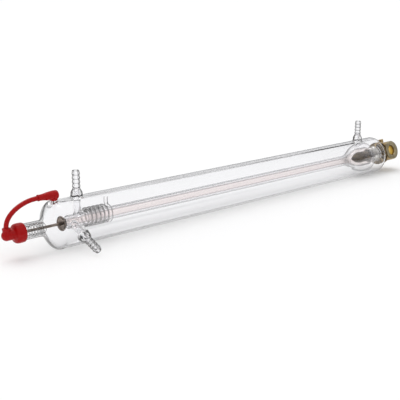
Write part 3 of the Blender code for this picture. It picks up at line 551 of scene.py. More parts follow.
class Bench:
    """Modelling steps, each on one piece."""

    @staticmethod
    def pick(piece: Item) -> None:
        """Select one piece alone.

        Args:
            piece: the piece.
        """
        bpy.ops.object.select_all(action="DESELECT")
        piece.select_set(True)
        bpy.context.view_layer.objects.active = piece

    @staticmethod
    def apply(piece: Item, kind: str, **settings: object) -> None:
        """Add a modifier and apply it.

        Args:
            piece: the piece.
            kind: the modifier's type.
            **settings: its properties.
        """
        modifier = piece.modifiers.new(kind.lower(), kind)
        for name, value in settings.items():
            setattr(modifier, name, value)
        Bench.pick(piece)
        bpy.ops.object.modifier_apply(modifier=modifier.name)

    @staticmethod
    def smooth(piece: Item, degrees: float = 40.0) -> None:
        """Shade smooth up to an angle."""
        Bench.pick(piece)
        bpy.ops.object.shade_smooth_by_angle(angle=math.radians(degrees))

    @staticmethod
    def turn(name: str, outline: Outline, sides: int, axis: Vector = ALONG_X,
             origin: Vector = Vector(), ring: bool = True, degrees: float = 40.0) -> Item:
        """Draw a circle out along its axis, ring by ring, as on a lathe.

        Args:
            name: the piece's name.
            outline: points of height along the axis and radius.
            sides: vertices round the circle.
            axis: the lathe's axis.
            origin: where height zero lies.
            ring: True for a hollow form whose last ring meets its first.
            degrees: the largest angle that is shaded smooth.

        Returns:
            The piece, closed and facing out.
        """
        bpy.ops.object.select_all(action="DESELECT")
        bpy.ops.mesh.primitive_circle_add(vertices=sides, radius=outline[0][1],
                                          fill_type="NOTHING", location=(0.0, 0.0, 0.0))
        piece = bpy.context.active_object
        piece.name = name
        bpy.ops.object.mode_set(mode="EDIT")
        bpy.ops.mesh.select_mode(type="VERT")
        bpy.ops.mesh.select_all(action="SELECT")
        bpy.ops.transform.translate(value=(0.0, 0.0, outline[0][0]))
        for (low, near), (high, far) in zip(outline, outline[1:]):
            bpy.ops.mesh.extrude_region_move(
                TRANSFORM_OT_translate={"value": (0.0, 0.0, high - low)})
            growth = far / near
            bpy.ops.transform.resize(value=(growth, growth, 1.0),
                                     center_override=(0.0, 0.0, high))
        if not ring:
            bpy.ops.mesh.edge_face_add()
        bpy.ops.mesh.select_all(action="DESELECT")
        bpy.ops.mesh.select_non_manifold(use_wire=False, use_boundary=True, use_multi_face=False,
                                         use_non_contiguous=False, use_verts=False)
        if ring:
            bpy.ops.mesh.bridge_edge_loops()
        else:
            bpy.ops.mesh.edge_face_add()
        bpy.ops.mesh.select_all(action="SELECT")
        bpy.ops.mesh.normals_make_consistent(inside=False)
        bpy.ops.object.mode_set(mode="OBJECT")
        piece.data.transform(facing(axis, origin))
        piece.data.name = name
        Bench.smooth(piece, degrees)
        return piece

    @staticmethod
    def rod(radius: float, span: Span, axis: Vector, origin: Vector, sides: int = 48) -> Item:
        """Plain round tool for a cut or a join, over a span of its axis."""
        return Bench.turn("tool", [(end, radius) for end in span], sides, axis, origin, ring=False)

    @staticmethod
    def mark(piece: Item, amount: Callable[[Vector], float]) -> None:
        """Store how far the glass is flame worked at each vertex; the painted edge shade is darker
        and wider there.

        Args:
            piece: the piece.
            amount: gives 0 to 1 at a place.
        """
        layer = piece.data.attributes.new(WORKED_SHADE, "FLOAT", "POINT")
        for vertex in piece.data.vertices:
            layer.data[vertex.index].value = amount(vertex.co)

    @staticmethod
    def combine(piece: Item, tool: Item, join: Join) -> None:
        """Cut or add one solid, then remove the tool."""
        Bench.apply(piece, "BOOLEAN", operation=join.value, solver="EXACT", object=tool)
        bpy.data.objects.remove(tool, do_unlink=True)

    @staticmethod
    def wire(name: str, line: list[Vector], radius: float, roundness: int,
             capped: bool = True) -> Item:
        """Round tube along a smooth line.

        Args:
            name: the piece's name.
            line: points that pull the line.
            radius: the tube's radius.
            roundness: the curve's bevel resolution.
            capped: True to close both ends.

        Returns:
            The tube as a mesh.
        """
        curve = bpy.data.curves.new(name, "CURVE")
        curve.dimensions = "3D"
        curve.bevel_depth = radius
        curve.bevel_resolution = roundness
        curve.use_fill_caps = capped
        spline = curve.splines.new("NURBS")
        spline.points.add(len(line) - 1)
        for point, spot in zip(spline.points, line):
            point.co = (*spot, 1.0)
        spline.order_u = 4
        spline.use_endpoint_u = True
        spline.resolution_u = 3
        item = bpy.data.objects.new(name, curve)
        bpy.context.scene.collection.objects.link(item)
        Bench.pick(item)
        bpy.ops.object.convert(target="MESH")
        item = bpy.context.active_object
        Bench.weld(item)
        Bench.smooth(item, 50.0)
        return item

    @staticmethod
    def weld(piece: Item) -> None:
        """Merge doubles and make the faces point out.

        Args:
            piece: the piece.
        """
        Bench.pick(piece)
        bpy.ops.object.mode_set(mode="EDIT")
        bpy.ops.mesh.select_all(action="SELECT")
        bpy.ops.mesh.remove_doubles(threshold=WELD)
        bpy.ops.mesh.normals_make_consistent(inside=False)
        bpy.ops.object.mode_set(mode="OBJECT")

    @staticmethod
    def melt(piece: Item, voxel: float, rounds: int) -> None:
        """Fuse overlapping forms into one skin with soft inner corners.

        Args:
            piece: the piece.
            voxel: the skin's grid.
            rounds: how often the skin is relaxed.
        """
        Bench.apply(piece, "REMESH", mode="VOXEL", voxel_size=voxel)
        Bench.apply(piece, "SMOOTH", factor=0.5, iterations=rounds)
        Bench.smooth(piece, 180.0)

    @staticmethod
    def join(piece: Item, *others: Item) -> None:
        """Put other meshes into the same object.

        Args:
            piece: the object that stays.
            *others: the ones that go into it.
        """
        Bench.pick(piece)
        for other in others:
            other.select_set(True)
        bpy.ops.object.join()

    @staticmethod
    def refine(node: str, name: str, bevel: float) -> Item:
        """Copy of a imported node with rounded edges.

        Args:
            node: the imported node's name.
            name: the new piece's name.
            bevel: width of the rounding.

        Returns:
            The copy.
        """
        piece = bpy.data.objects.new(name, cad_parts[node].data.copy())
        piece.data.name = name
        bpy.context.scene.collection.objects.link(piece)
        Bench.weld(piece)
        Bench.apply(piece, "DECIMATE", decimate_type="DISSOLVE", angle_limit=FLAT_ANGLE)
        Bench.apply(piece, "BEVEL", width=bevel, segments=2, limit_method="ANGLE",
                    angle_limit=EDGE_ANGLE, use_clamp_overlap=True)
        Bench.smooth(piece)
        return piece


@dataclass
class Assembly:
    """A part of the tube, with the materials that dress its pieces."""

    finishes: Finishes

    def place(self, piece: Item, finish: str, *nodes: str) -> None:
        """Dress a piece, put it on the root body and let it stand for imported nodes.

        Args:
            piece: the piece.
            finish: which material it gets.
            *nodes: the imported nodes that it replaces.
        """
        self.finishes.dress(piece, finish)
        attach(piece, "root")
        if nodes:
            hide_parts(*nodes)
        LOG.info("%s: %d faces", piece.name, len(piece.data.polygons))


# Glasswork

@dataclass
class WaterJacket(Assembly):
    """Tube round the bore, with the bulb round the cathode chamber."""

    left: float = -606.4 * MM
    end_radius: float = 5.3 * MM
    end_length: float = 2.5 * MM
    end_swell: float = 1.3
    radius: float = 7.5 * MM
    flare_left: float = -122.0 * MM
    bulb_left: float = -78.0 * MM
    bulb_radius: float = 22.0 * MM
    dome_left: float = -72.6 * MM
    dome_length: float = 8.0 * MM
    closed_radius: float = 14.7 * MM
    wall: float = 1.2 * MM
    core_depth: float = 0.35
    tap_top: float = 24.0 * MM
    end_fade: Span = (6.0 * MM, 2.0 * MM)
    flare_fade: Span = (0.0, 22.0 * MM)
    sides: int = 64

    def outline(self) -> Outline:
        """Outer line from left to right.

        Returns:
            The points.
        """
        line = dome(self.left + self.end_length, -self.end_swell * self.end_length, self.radius,
                    self.end_radius, steps=7)
        line.reverse()
        line += s_curve(self.flare_left, self.bulb_left, self.radius, self.bulb_radius, steps=26)
        line += dome(self.dome_left, self.dome_length, self.bulb_radius, self.closed_radius,
                     steps=9)
        return tidy(line)

    def worked(self, spot: Vector) -> float:
        """Flame worked at the left end and from the flare on, where the painted edge shade is
        darker.
        """
        return max(fade(self.flare_left, self.flare_fade, spot.x),
                   fade(self.left, self.end_fade, spot.x))

    def core(self) -> Item:
        """Solid form inside the wall, a tool for saddle cuts."""
        return Bench.turn("jacket_core", inset(self.outline(), self.core_depth * self.wall),
                          self.sides, ring=False)

    def build(self, taps: list[Nipple]) -> None:
        """Model the jacket and open it where the nipples enter.

        Args:
            taps: the nipples.
        """
        piece = Bench.turn("jacket_glass", walled(self.outline(), self.wall), self.sides)
        for tap in taps:
            tool = Bench.rod(tap.bore, (tap.bore_low, self.tap_top), tap.axis, tap.origin())
            Bench.combine(piece, tool, Join.CUT)
        Bench.smooth(piece)
        Bench.mark(piece, self.worked)
        self.place(piece, "inner_glass", "water_jacket")


@dataclass
class Nipple:
    """Barbed glass hose nipple with its stem down to the jacket."""

    station: float
    axis: Vector
    bore: float = 2.5 * MM
    bore_low: float = 3.0 * MM
    waist: float = 4.05 * MM
    barb: float = 4.6 * MM
    barbs: int = 4
    pitch: float = 4.7 * MM
    tip: float = 57.0 * MM
    saddle_reach: float = 14.0 * MM
    sides: int = 40

    def origin(self) -> Vector:
        """Point of the nipple's axis on the tube's axis."""
        return on_axis(self.station)

    def outline(self) -> Outline:
        """Outer line from below the glass surface to the tip.

        Returns:
            The points.
        """
        line = mm([(22.5, 9.8), (25.6, 8.7), (26.8, 7.8), (27.7, 7.2), (28.7, 6.85), (30.0, 6.7),
                   (31.2, 6.7), (32.4, 6.5), (33.6, 5.95), (34.8, 5.2), (36.0, 4.55),
                   (37.2, 4.15)])
        for i in range(self.barbs):
            base = self.tip - (self.barbs - i) * self.pitch
            line += mm([(-0.5, 0.0)], base, self.waist)
            line += mm([(-0.1, -0.3), (0.3, -0.05), (0.7, 0.0), (1.3, -0.12)], base, self.barb)
            line += mm([(2.8, 0.12), (3.6, 0.0)], base, self.waist)
        return line + mm([(-0.5, -0.1), (-0.15, -0.35), (0.0, -0.75)], self.tip, self.waist)

    def build(self, jacket: WaterJacket, skin: float) -> Item:
        """Solid nipple, saddled on the envelope's wall and on the jacket.

        Args:
            jacket: the jacket that it enters.
            skin: radius of the middle of the envelope's wall.

        Returns:
            The solid, not yet bored.
        """
        piece = Bench.turn("nipple", self.outline(), self.sides, self.axis, self.origin(),
                           ring=False)
        span = (self.station - self.saddle_reach, self.station + self.saddle_reach)
        Bench.combine(piece, Bench.rod(skin, span, ALONG_X, Vector(), sides=96), Join.CUT)
        if jacket.flare_left < self.station:
            stem = [(16.0, 5.0), (20.5, 5.4), (22.0, 4.9), (23.4, 4.9), (25.0, 5.4), (26.8, 6.0)]
        else:
            stem = [(3.0, 5.2), (8.2, 5.0), (9.4, 4.3), (10.8, 3.9), (21.6, 3.9), (23.6, 4.2),
                    (24.9, 4.8), (25.7, 5.6), (26.8, 6.0)]
        rod = Bench.turn("stem", mm(stem), self.sides, self.axis, self.origin(), ring=False)
        Bench.combine(rod, jacket.core(), Join.CUT)
        Bench.combine(piece, rod, Join.ADD)
        return piece


@dataclass
class GlassEnvelope(Assembly):
    """Outer tube with its neck, dome, nipples and starter stub, fused into one glass."""

    neck_left: float = -664.9 * MM
    neck_right: float = -638.9 * MM
    shoulder_right: float = -619.9 * MM
    dome_left: float = -51.9 * MM
    dome_length: float = 12.0 * MM
    neck_radius: float = 9.0 * MM
    radius: float = 27.5 * MM
    end_radius: float = 12.9 * MM
    wall: float = 1.8 * MM
    overrun: float = 2.0 * MM
    stub_station: float = -620.9 * MM
    stub_bore: float = 1.0 * MM
    stub_bore_span: Span = (20.0 * MM, 33.0 * MM)
    core_points: int = 30
    shoulder_fade: Span = (3.0 * MM, -5.0 * MM)
    dome_fade: Span = (-1.0 * MM, 4.0 * MM)
    wall_fade: Span = (-4.0 * MM, -2.5 * MM)
    foot_fade: Span = (0.2 * MM, 2.0 * MM)
    length_fade: Span = (-100.0 * MM, -600.0 * MM)
    fused_share: float = 0.5
    sides: int = 96

    def outline(self) -> Outline:
        """Outer line from left to right.

        Returns:
            The points.
        """
        line = [(self.neck_left, self.neck_radius)]
        line += s_curve(self.neck_right, self.shoulder_right, self.neck_radius, self.radius,
                        steps=18)
        line += dome(self.dome_left, self.dome_length, self.radius, self.end_radius, steps=14)
        return tidy(line)

    def worked(self, spot: Vector) -> float:
        """Flame worked on the shoulder, the dome, the nipples and the stub, where the painted edge
        shade is darker.

        Args:
            spot: the place.

        Returns:
            0 for plain glass, 1 for flame worked.
        """
        across = math.hypot(spot.y, spot.z)
        ends = max(fade(self.shoulder_right, self.shoulder_fade, spot.x),
                   fade(self.dome_left, self.dome_fade, spot.x))
        fused = ends * max(fade(self.radius, self.wall_fade, across),
                           fade(0.0, self.length_fade, spot.x))
        return max(self.fused_share * fused, fade(self.radius, self.foot_fade, across))

    def stub(self) -> Item:
        """Glass stub of the starter electrode, saddled on the wall.

        Returns:
            The solid, not yet bored.
        """
        line = [(20.5, 7.2), (25.4, 6.2), (26.8, 5.5), (27.5, 4.8), (28.0, 4.0), (28.5, 3.45),
                (29.1, 3.2), (30.5, 3.2), (30.85, 3.0), (31.0, 2.6)]
        stem = [(23.0, 1.9), (23.3, 2.3), (27.0, 2.6)]
        origin = on_axis(self.stub_station)
        piece = Bench.turn("stub", mm(line), 40, UP, origin, ring=False)
        inner = inset(self.outline()[:self.core_points], 0.5 * self.wall)
        Bench.combine(piece, Bench.turn("core", inner, self.sides, ring=False), Join.CUT)
        Bench.combine(piece, Bench.turn("stub_stem", mm(stem), 32, UP, origin, ring=False),
                      Join.ADD)
        return piece

    def build(self, jacket: WaterJacket, taps: list[Nipple]) -> None:
        """Model the envelope, fuse the nipples and the stub on it and bore them.

        Args:
            jacket: the jacket that the nipples enter.
            taps: the nipples.
        """
        piece = Bench.turn("envelope_shell", walled(self.outline(), self.wall), self.sides)
        for tap in taps:
            Bench.combine(piece, tap.build(jacket, self.radius - 0.5 * self.wall), Join.ADD)
        Bench.combine(piece, self.stub(), Join.ADD)
        for tap in taps:
            tool = Bench.rod(tap.bore, (tap.bore_low, tap.tip + self.overrun), tap.axis,
                             tap.origin(), sides=32)
            Bench.combine(piece, tool, Join.CUT)
        tool = Bench.rod(self.stub_bore, self.stub_bore_span, UP, on_axis(self.stub_station),
                         sides=20)
        Bench.combine(piece, tool, Join.CUT)
        Bench.smooth(piece, 42.0)
        Bench.mark(piece, self.worked)
        self.place(piece, "envelope_glass", "outer_envelope", "water_nipple_top",
                   "water_nipple_side", "water_nipple_rear", "starter_stub")


@dataclass
class DischargeTube(Assembly):
    """Bore tube with its flared mouth and the cathode chamber."""

    mouth_left: float = -610.0 * MM
    mouth_right: float = -606.8 * MM
    mouth_radius: float = 7.5 * MM
    mouth_steps: int = 8
    mouth_curl: float = 1.5
    radius: float = 4.5 * MM
    flare_left: float = -120.0 * MM
    chamber_left: float = -82.0 * MM
    chamber_radius: float = 14.0 * MM
    dome_left: float = -66.0 * MM
    dome_length: float = 7.5 * MM
    neck_radius: float = 9.5 * MM
    neck_right: float = -55.0 * MM
    wall: float = 1.0 * MM
    mouth_fade: float = 1.0 * MM
    flare_fade: Span = (0.0, 20.0 * MM)
    sides: int = 64

    def outline(self) -> Outline:
        """Outer line from left to right.

        Returns:
            The points.
        """
        line = []
        for i in range(self.mouth_steps + 1):
            t = i / self.mouth_steps
            flare = (self.mouth_radius - self.radius) * (1 - t) ** self.mouth_curl
            line.append((self.mouth_left + (self.mouth_right - self.mouth_left) * t,
                         self.radius + flare))
        line += s_curve(self.flare_left, self.chamber_left, self.radius, self.chamber_radius,
                        steps=24)
        line += dome(self.dome_left, self.dome_length, self.chamber_radius, self.neck_radius,
                     steps=10)
        line.append((self.neck_right, self.neck_radius))
        return tidy(line)

    def worked(self, spot: Vector) -> float:
        """Flame worked at the mouth and from the flare on, where the painted edge shade is darker.
        """
        return max(fade(self.flare_left, self.flare_fade, spot.x),
                   fade(0.0, (self.mouth_right + self.mouth_fade, self.mouth_left), spot.x))

    def build(self) -> None:
        """Model the tube."""
        piece = Bench.turn("bore_tube", walled(self.outline(), self.wall), self.sides)
        Bench.mark(piece, self.worked)
        self.place(piece, "bore_glass", "discharge_tube")


@dataclass
class ReturnCoil(Assembly):
    """Glass spiral that lets the gas back from one end of the bore to the other."""

    start: float = -583.9 * MM
    radius: float = 10.2 * MM
    tube: float = 2.4 * MM
    wall: float = 0.7 * MM
    pitch: float = 5.6 * MM
    turns: float = 5.75
    per_turn: int = 20
    lead_in: float = 20.0 * MM
    hook: float = 7.5 * MM
    hook_run: float = 2.2
    hook_drift: float = 0.4
    end_steps: int = 8

    def line(self) -> list[Vector]:
        """Points that pull the tube's middle line.

        Returns:
            The points.
        """
        steps = self.end_steps
        points = [Vector((self.start - self.lead_in * (1 - i / steps), self.radius, 0.0))
                  for i in range(steps)]
        for i in range(int(self.turns * self.per_turn) + 1):
            turn = i / self.per_turn
            angle = -2 * math.pi * turn
            points.append(Vector((self.start + self.pitch * turn, self.radius * math.cos(angle),
                                  self.radius * math.sin(angle))))
        last = points[-1]
        outward = Vector((0.0, last.y, last.z)).normalized()
        heading = (points[-1] - points[-2]).normalized()
        for i in range(1, steps + 1):
            t = i / steps
            points.append(last + heading * self.tube * self.hook_run * math.sin(t * math.pi / 2)
                          + outward * self.hook * t * t
                          + ALONG_X * self.pitch * self.hook_drift * t)
        return points

    def build(self) -> None:
        """Model the spiral as an open tube and give it its wall."""
        piece = Bench.wire("return_spiral", self.line(), self.tube, roundness=6, capped=False)
        Bench.apply(piece, "SOLIDIFY", thickness=self.wall, offset=-1.0)
        Bench.smooth(piece, 60.0)
        self.place(piece, "coil_glass", "gas_return_coil")


@dataclass
class NeckBellows(Assembly):
    """Pleated glass tube inside the neck."""

    left: float = -660.7 * MM
    pleats_left: float = -652.0 * MM
    run_in: float = 1.0 * MM
    straight: float = 5.6 * MM
    crest: float = 6.4 * MM
    waist: float = 4.9 * MM
    wall: float = 0.6 * MM
    pleats: int = 5
    pitch: float = 3.6 * MM
    per_pleat: int = 10
    sides: int = 48

    def build(self) -> None:
        """Model the pleats."""
        line = [(self.left, self.straight), (self.pleats_left - self.run_in, self.straight)]
        middle = 0.5 * (self.crest + self.waist)
        swing = 0.5 * (self.crest - self.waist)
        for i in range(self.pleats * self.per_pleat + 1):
            angle = 2 * math.pi * i / self.per_pleat
            line.append((self.pleats_left + self.pitch * i / self.per_pleat,
                         middle - swing * math.cos(angle)))
        piece = Bench.turn("pleated_neck", walled(line, self.wall), self.sides)
        self.place(piece, "worked_glass", "neck_bellows")


# Electrodes

@dataclass
class Electrodes(Assembly):
    """Anode cone at the left, cathode shell at the right."""

    cone_left: float = -613.2 * MM
    cone_right: float = -607.2 * MM
    hub: float = 1.95 * MM
    cathode_left: float = -99.0 * MM
    cathode_shoulder: float = -82.0 * MM
    cathode_right: float = -57.0 * MM
    cathode_tip: float = 1.6 * MM
    cathode_radius: float = 8.2 * MM
    cathode_wall: float = 0.55 * MM
    cathode_steps: int = 16
    groove_setback: float = 9.0 * MM
    sides: int = 64

    def build_cone(self) -> None:
        """Rolled-edge cone, hollow at the back, with a hub for the anode tube."""
        outer = mm([(0.0, 7.9), (0.2, 8.25), (0.6, 8.45), (1.0, 8.4)], self.cone_left)
        outer += mm([(-1.2, 3.4), (-0.4, 2.7), (0.0, 2.35)], self.cone_right)
        outer += mm([(0.0, 0.0), (-2.6, 0.0)], self.cone_right, self.hub)
        outer += mm([(-2.6, 3.2)], self.cone_right)
        outer += mm([(0.8, 7.45), (0.2, 7.65)], self.cone_left)
        piece = Bench.turn("anode_funnel", outer, self.sides, degrees=30.0)
        self.place(piece, "dull_nickel", "anode_cone")

    def build_cathode(self) -> None:
        """Pointed shell with a shallow groove."""
        line = []
        for i in range(self.cathode_steps + 1):
            t = i / self.cathode_steps
            growth = (self.cathode_radius - self.cathode_tip) * math.sin(t * math.pi / 2)
            line.append((self.cathode_left + (self.cathode_shoulder - self.cathode_left) * t,
                         self.cathode_tip + growth))
        line += mm([(0.0, 0.0), (0.5, -0.35), (1.0, -0.35), (1.5, 0.0)],
                   self.cathode_shoulder + self.groove_setback, self.cathode_radius)
        line.append((self.cathode_right, self.cathode_radius))
        piece = Bench.turn("cathode_shell", walled(line, self.cathode_wall), self.sides,
                           degrees=30.0)
        self.place(piece, "cathode_nickel", "cathode_sleeve")

    def build(self) -> None:
        """Model both electrodes."""
        self.build_cone()
        self.build_cathode()


# Red rubber

@dataclass
class RedLead(Assembly):
    """Two moulded boots and the lead between them."""

    neck_left: float = -664.9 * MM
    lead: float = 2.6 * MM
    play: float = 0.15 * MM
    elbow: float = -679.0 * MM
    ball: float = 5.75 * MM
    ball_steps: int = 16
    socket: float = 4.2 * MM
    socket_top: float = 8.3 * MM
    socket_hole: Span = (4.0 * MM, 12.0 * MM)
    boot_axis: float = 33.8 * MM
    boot_left: float = -640.4 * MM
    boot_hole: Span = (-1.0 * MM, 7.0 * MM)
    stub_station: float = -621.0 * MM
    stub_hole: Span = (26.0 * MM, 31.3 * MM)
    stub_hole_radius: float = 3.4 * MM
    route: tuple[Span, ...] = (
        (-14.0, 4.5), (-14.3, 7.0), (-14.2, 11.0), (-13.0, 15.0), (-10.6, 19.1), (-7.0, 22.9),
        (-2.4, 26.3), (2.8, 29.1), (8.5, 31.3), (14.7, 32.9), (20.5, 33.6), (26.5, 33.8),
        (32.5, 33.8))

    def build_lead(self) -> None:
        """Round lead along its route."""
        line = [Vector((self.neck_left + x * MM, 0.0, z * MM)) for x, z in self.route]
        piece = Bench.wire("lead_wire", line, self.lead, roundness=8)
        self.place(piece, "red_silicone_skin", "high_voltage_lead")

    def build_anode_boot(self) -> None:
        """Cap with its barrel, elbow ball and lead socket, moulded in one."""
        cap = [(-680.0, 5.0), (-679.6, 5.6), (-673.2, 5.7), (-672.0, 6.0), (-671.2, 6.8),
               (-670.8, 8.4), (-670.3, 9.5), (-669.4, 10.2), (-668.0, 10.65), (-666.0, 10.85),
               (-663.0, 10.8), (-660.9, 10.7), (-660.1, 10.4), (-659.9, 9.9), (-660.1, 9.3),
               (-668.1, 9.3), (-668.1, 0.4)]
        piece = Bench.turn("boot_cap", mm(cap), 56, ring=False)
        origin = on_axis(self.elbow)
        angles = [math.pi * i / self.ball_steps for i in range(1, self.ball_steps)]
        ball = [(-self.ball * math.cos(angle), self.ball * math.sin(angle)) for angle in angles]
        sphere = Bench.turn("boot_ball", ball, 40, UP, origin, ring=False)
        socket = [(0.0, self.socket)] + mm([(-2.2, 0.0), (-1.7, 0.35), (-0.6, 0.35), (0.0, 0.0)],
                                           self.socket_top, self.socket)
        collar = Bench.turn("boot_collar", socket, 40, UP, origin, ring=False)
        Bench.join(piece, sphere, collar)
        piece.name = "anode_boot_skin"
        Bench.melt(piece, voxel=0.32 * MM, rounds=5)
        tool = Bench.rod(self.lead + self.play, self.socket_hole, UP, origin, sides=40)
        Bench.combine(piece, tool, Join.CUT)
        Bench.smooth(piece, 50.0)
        self.place(piece, "red_silicone_skin", "anode_boot")

    def build_starter_boot(self) -> None:
        """Tapered boot over the starter stub."""
        line = [(0.0, 3.2), (0.3, 3.6), (0.9, 3.7), (1.5, 3.6), (1.9, 3.35), (6.3, 3.6),
                (8.4, 3.9), (10.4, 4.3), (12.4, 4.6), (15.0, 4.85), (17.5, 5.1), (21.4, 5.15),
                (22.8, 5.1), (23.7, 4.9), (24.2, 4.5), (24.4, 3.9), (24.4, 1.6)]
        skirt = [(28.2, 4.35), (28.5, 4.6), (29.4, 4.7), (32.5, 4.7), (33.8, 4.6)]
        origin = Vector((self.boot_left, 0.0, self.boot_axis))
        stub = on_axis(self.stub_station)
        piece = Bench.turn("starter_boot_skin", mm(line), 48, ALONG_X, origin, ring=False)
        Bench.join(piece, Bench.turn("skirt", mm(skirt), 40, UP, stub, ring=False))
        Bench.melt(piece, voxel=0.3 * MM, rounds=4)
        Bench.combine(piece, Bench.rod(self.stub_hole_radius, self.stub_hole, UP, stub, sides=40),
                      Join.CUT)
        tool = Bench.rod(self.lead + self.play, self.boot_hole, ALONG_X, origin, sides=40)
        Bench.combine(piece, tool, Join.CUT)
        Bench.smooth(piece, 50.0)
        self.place(piece, "red_silicone_skin", "starter_boot")

    def build(self) -> None:
        """Model the boots and the lead."""
        self.build_anode_boot()
        self.build_starter_boot()
        self.build_lead()


# Output head

@dataclass(frozen=True)
class Screw:
    """Plain round screw, all of it slimmed across its axis. Heights grow towards the head."""

    radius: float
    head: Span
    shank: float
    shank_low: float
    sides: int
    edge: float = 0.35 * MM
    slim: float = 0.9

    def build(self, name: str, axis: Vector, origin: Vector) -> Item:
        """Turn the screw, then slim it.

        Args:
            name: the piece's name.
            axis: the screw's axis, towards the head.
            origin: where height zero lies.

        Returns:
            The screw.
        """
        (low, high), radius, edge = self.head, self.radius, self.edge
        line = [(self.shank_low, self.shank), (low, self.shank), (low, radius - edge),
                (low + edge, radius), (high - edge, radius), (high, radius - edge),
                (high, 0.45 * radius), (high - 0.5 * edge, 0.4 * radius)]
        piece = Bench.turn(name, line, self.sides, axis, origin, ring=False, degrees=25.0)
        upright = facing(axis, origin)
        slimming = Matrix.Diagonal((self.slim, self.slim, 1.0, 1.0))
        piece.data.transform(upright @ slimming @ upright.inverted())
        return piece


@dataclass
class OutputHead(Assembly):
    """Sleeve, adjusting plate, turning head, window and end plate."""

    centre: float = -17.0 * MM
    tilt: float = math.radians(20.0)
    sleeve_left: float = -58.0 * MM
    sleeve_right: float = -30.0 * MM
    sleeve_radius: float = 11.7 * MM
    sleeve_bore: float = 9.8 * MM
    rib_setbacks: tuple[float, ...] = (2.0 * MM, 8.0 * MM, 12.0 * MM)
    groove_setbacks: tuple[float, ...] = (15.2 * MM, 25.4 * MM, 26.6 * MM)
    ring_near: float = 13.8 * MM
    ring_far: float = 17.0 * MM
    ring_radius: float = 14.3 * MM
    ring_bore: float = 7.5 * MM
    adjusters: int = 3
    adjuster_circle: float = 14.75 * MM
    adjuster: Screw = Screw(radius=2.6 * MM, head=(36.7 * MM, 40.2 * MM), shank=1.2 * MM,
                            shank_low=27.2 * MM, sides=32)
    clamp: Screw = Screw(radius=4.0 * MM, head=(14.8 * MM, 20.3 * MM), shank=1.5 * MM,
                         shank_low=10.2 * MM, sides=48)

    def port_axis(self) -> Vector:
        """Direction that the window looks."""
        return Vector((0.0, -math.cos(self.tilt), math.sin(self.tilt)))

    def port_up(self) -> Vector:
        """Direction across the port, away from the floor."""
        return Vector((0.0, math.sin(self.tilt), math.cos(self.tilt)))

    def build_sleeve(self) -> None:
        """Plated sleeve with three raised ribs and fine grooves."""
        rib = [(-0.8, 0.0), (-0.55, 0.5), (-0.25, 0.7), (0.25, 0.7), (0.55, 0.5), (0.8, 0.0)]
        groove = [(-0.25, 0.0), (-0.15, -0.25), (0.15, -0.25), (0.25, 0.0)]
        radius, left, right = self.sleeve_radius, self.sleeve_left, self.sleeve_right
        line = mm([(0.0, -0.3), (0.3, 0.0)], left, radius)
        for form, setbacks in ((rib, self.rib_setbacks), (groove, self.groove_setbacks)):
            for setback in setbacks:
                line += mm(form, left + setback, radius)
        line += mm([(-0.3, 0.0), (0.0, -0.3)], right, radius)
        line += [(right, self.sleeve_bore), (left, self.sleeve_bore)]
        piece = Bench.turn("sleeve_plated", line, 64, degrees=35.0)
        self.place(piece, "plated_metal", "end_sleeve")

    def build_screws(self) -> None:
        """Three adjusting screws and the clamp screw on top."""
        for i in range(self.adjusters):
            angle = math.pi / 2 + 2 * math.pi * i / self.adjusters
            origin = Vector((0.0, self.adjuster_circle * math.cos(angle),
                             self.adjuster_circle * math.sin(angle)))
            screw = self.adjuster.build(f"fine_screw_{i + 1}", -ALONG_X, origin)
            self.place(screw, "turned_brass", f"adjusting_screw_{i + 1}")
        clamp = self.clamp.build("clamp_knob", self.port_up(), on_axis(self.centre))
        self.place(clamp, "turned_brass", "clamp_screw")

    def build_window(self) -> None:
        """Stepped ring and the yellow window behind it."""
        origin, axis = on_axis(self.centre), self.port_axis()
        near, far, bore = self.ring_near, self.ring_far, self.ring_bore
        line = [(near, bore)] + mm([(0.0, -0.2), (0.2, 0.0)], near, self.ring_radius)
        line += mm([(-0.6, 0.0), (-0.15, -0.4), (0.0, -0.8), (0.0, -3.4), (-0.35, -3.7)], far,
                   self.ring_radius)
        line += mm([(-0.4, 1.6), (-0.6, 1.1), (-1.6, 0.1), (-1.9, 0.0)], far, bore)
        ring = Bench.turn("window_bezel", line, 72, axis, origin, degrees=30.0)
        self.place(ring, "bronzed_brass", "window_ring")
        disc = [(10.55, 6.9), (10.65, 7.15), (10.85, 7.2), (12.2, 7.2), (12.42, 7.12),
                (12.5, 6.9)]
        window = Bench.turn("window_disc", mm(disc), 64, axis, origin, ring=False, degrees=30.0)
        self.place(window, "yellow_crystal", "output_window")

    def build(self) -> None:
        """Model every piece of the head."""
        self.build_sleeve()
        self.build_screws()
        self.build_window()
        for node, name, finish, bevel in (
                ("head_body", "head_casting", "turned_brass", 0.35 * MM),
                ("adjusting_plate", "plate_turned", "dark_brass", 0.2 * MM),
                ("end_plate", "end_plate_turned", "turned_brass", 0.2 * MM)):
            self.place(Bench.refine(node, name, bevel), finish, node)


# Studio

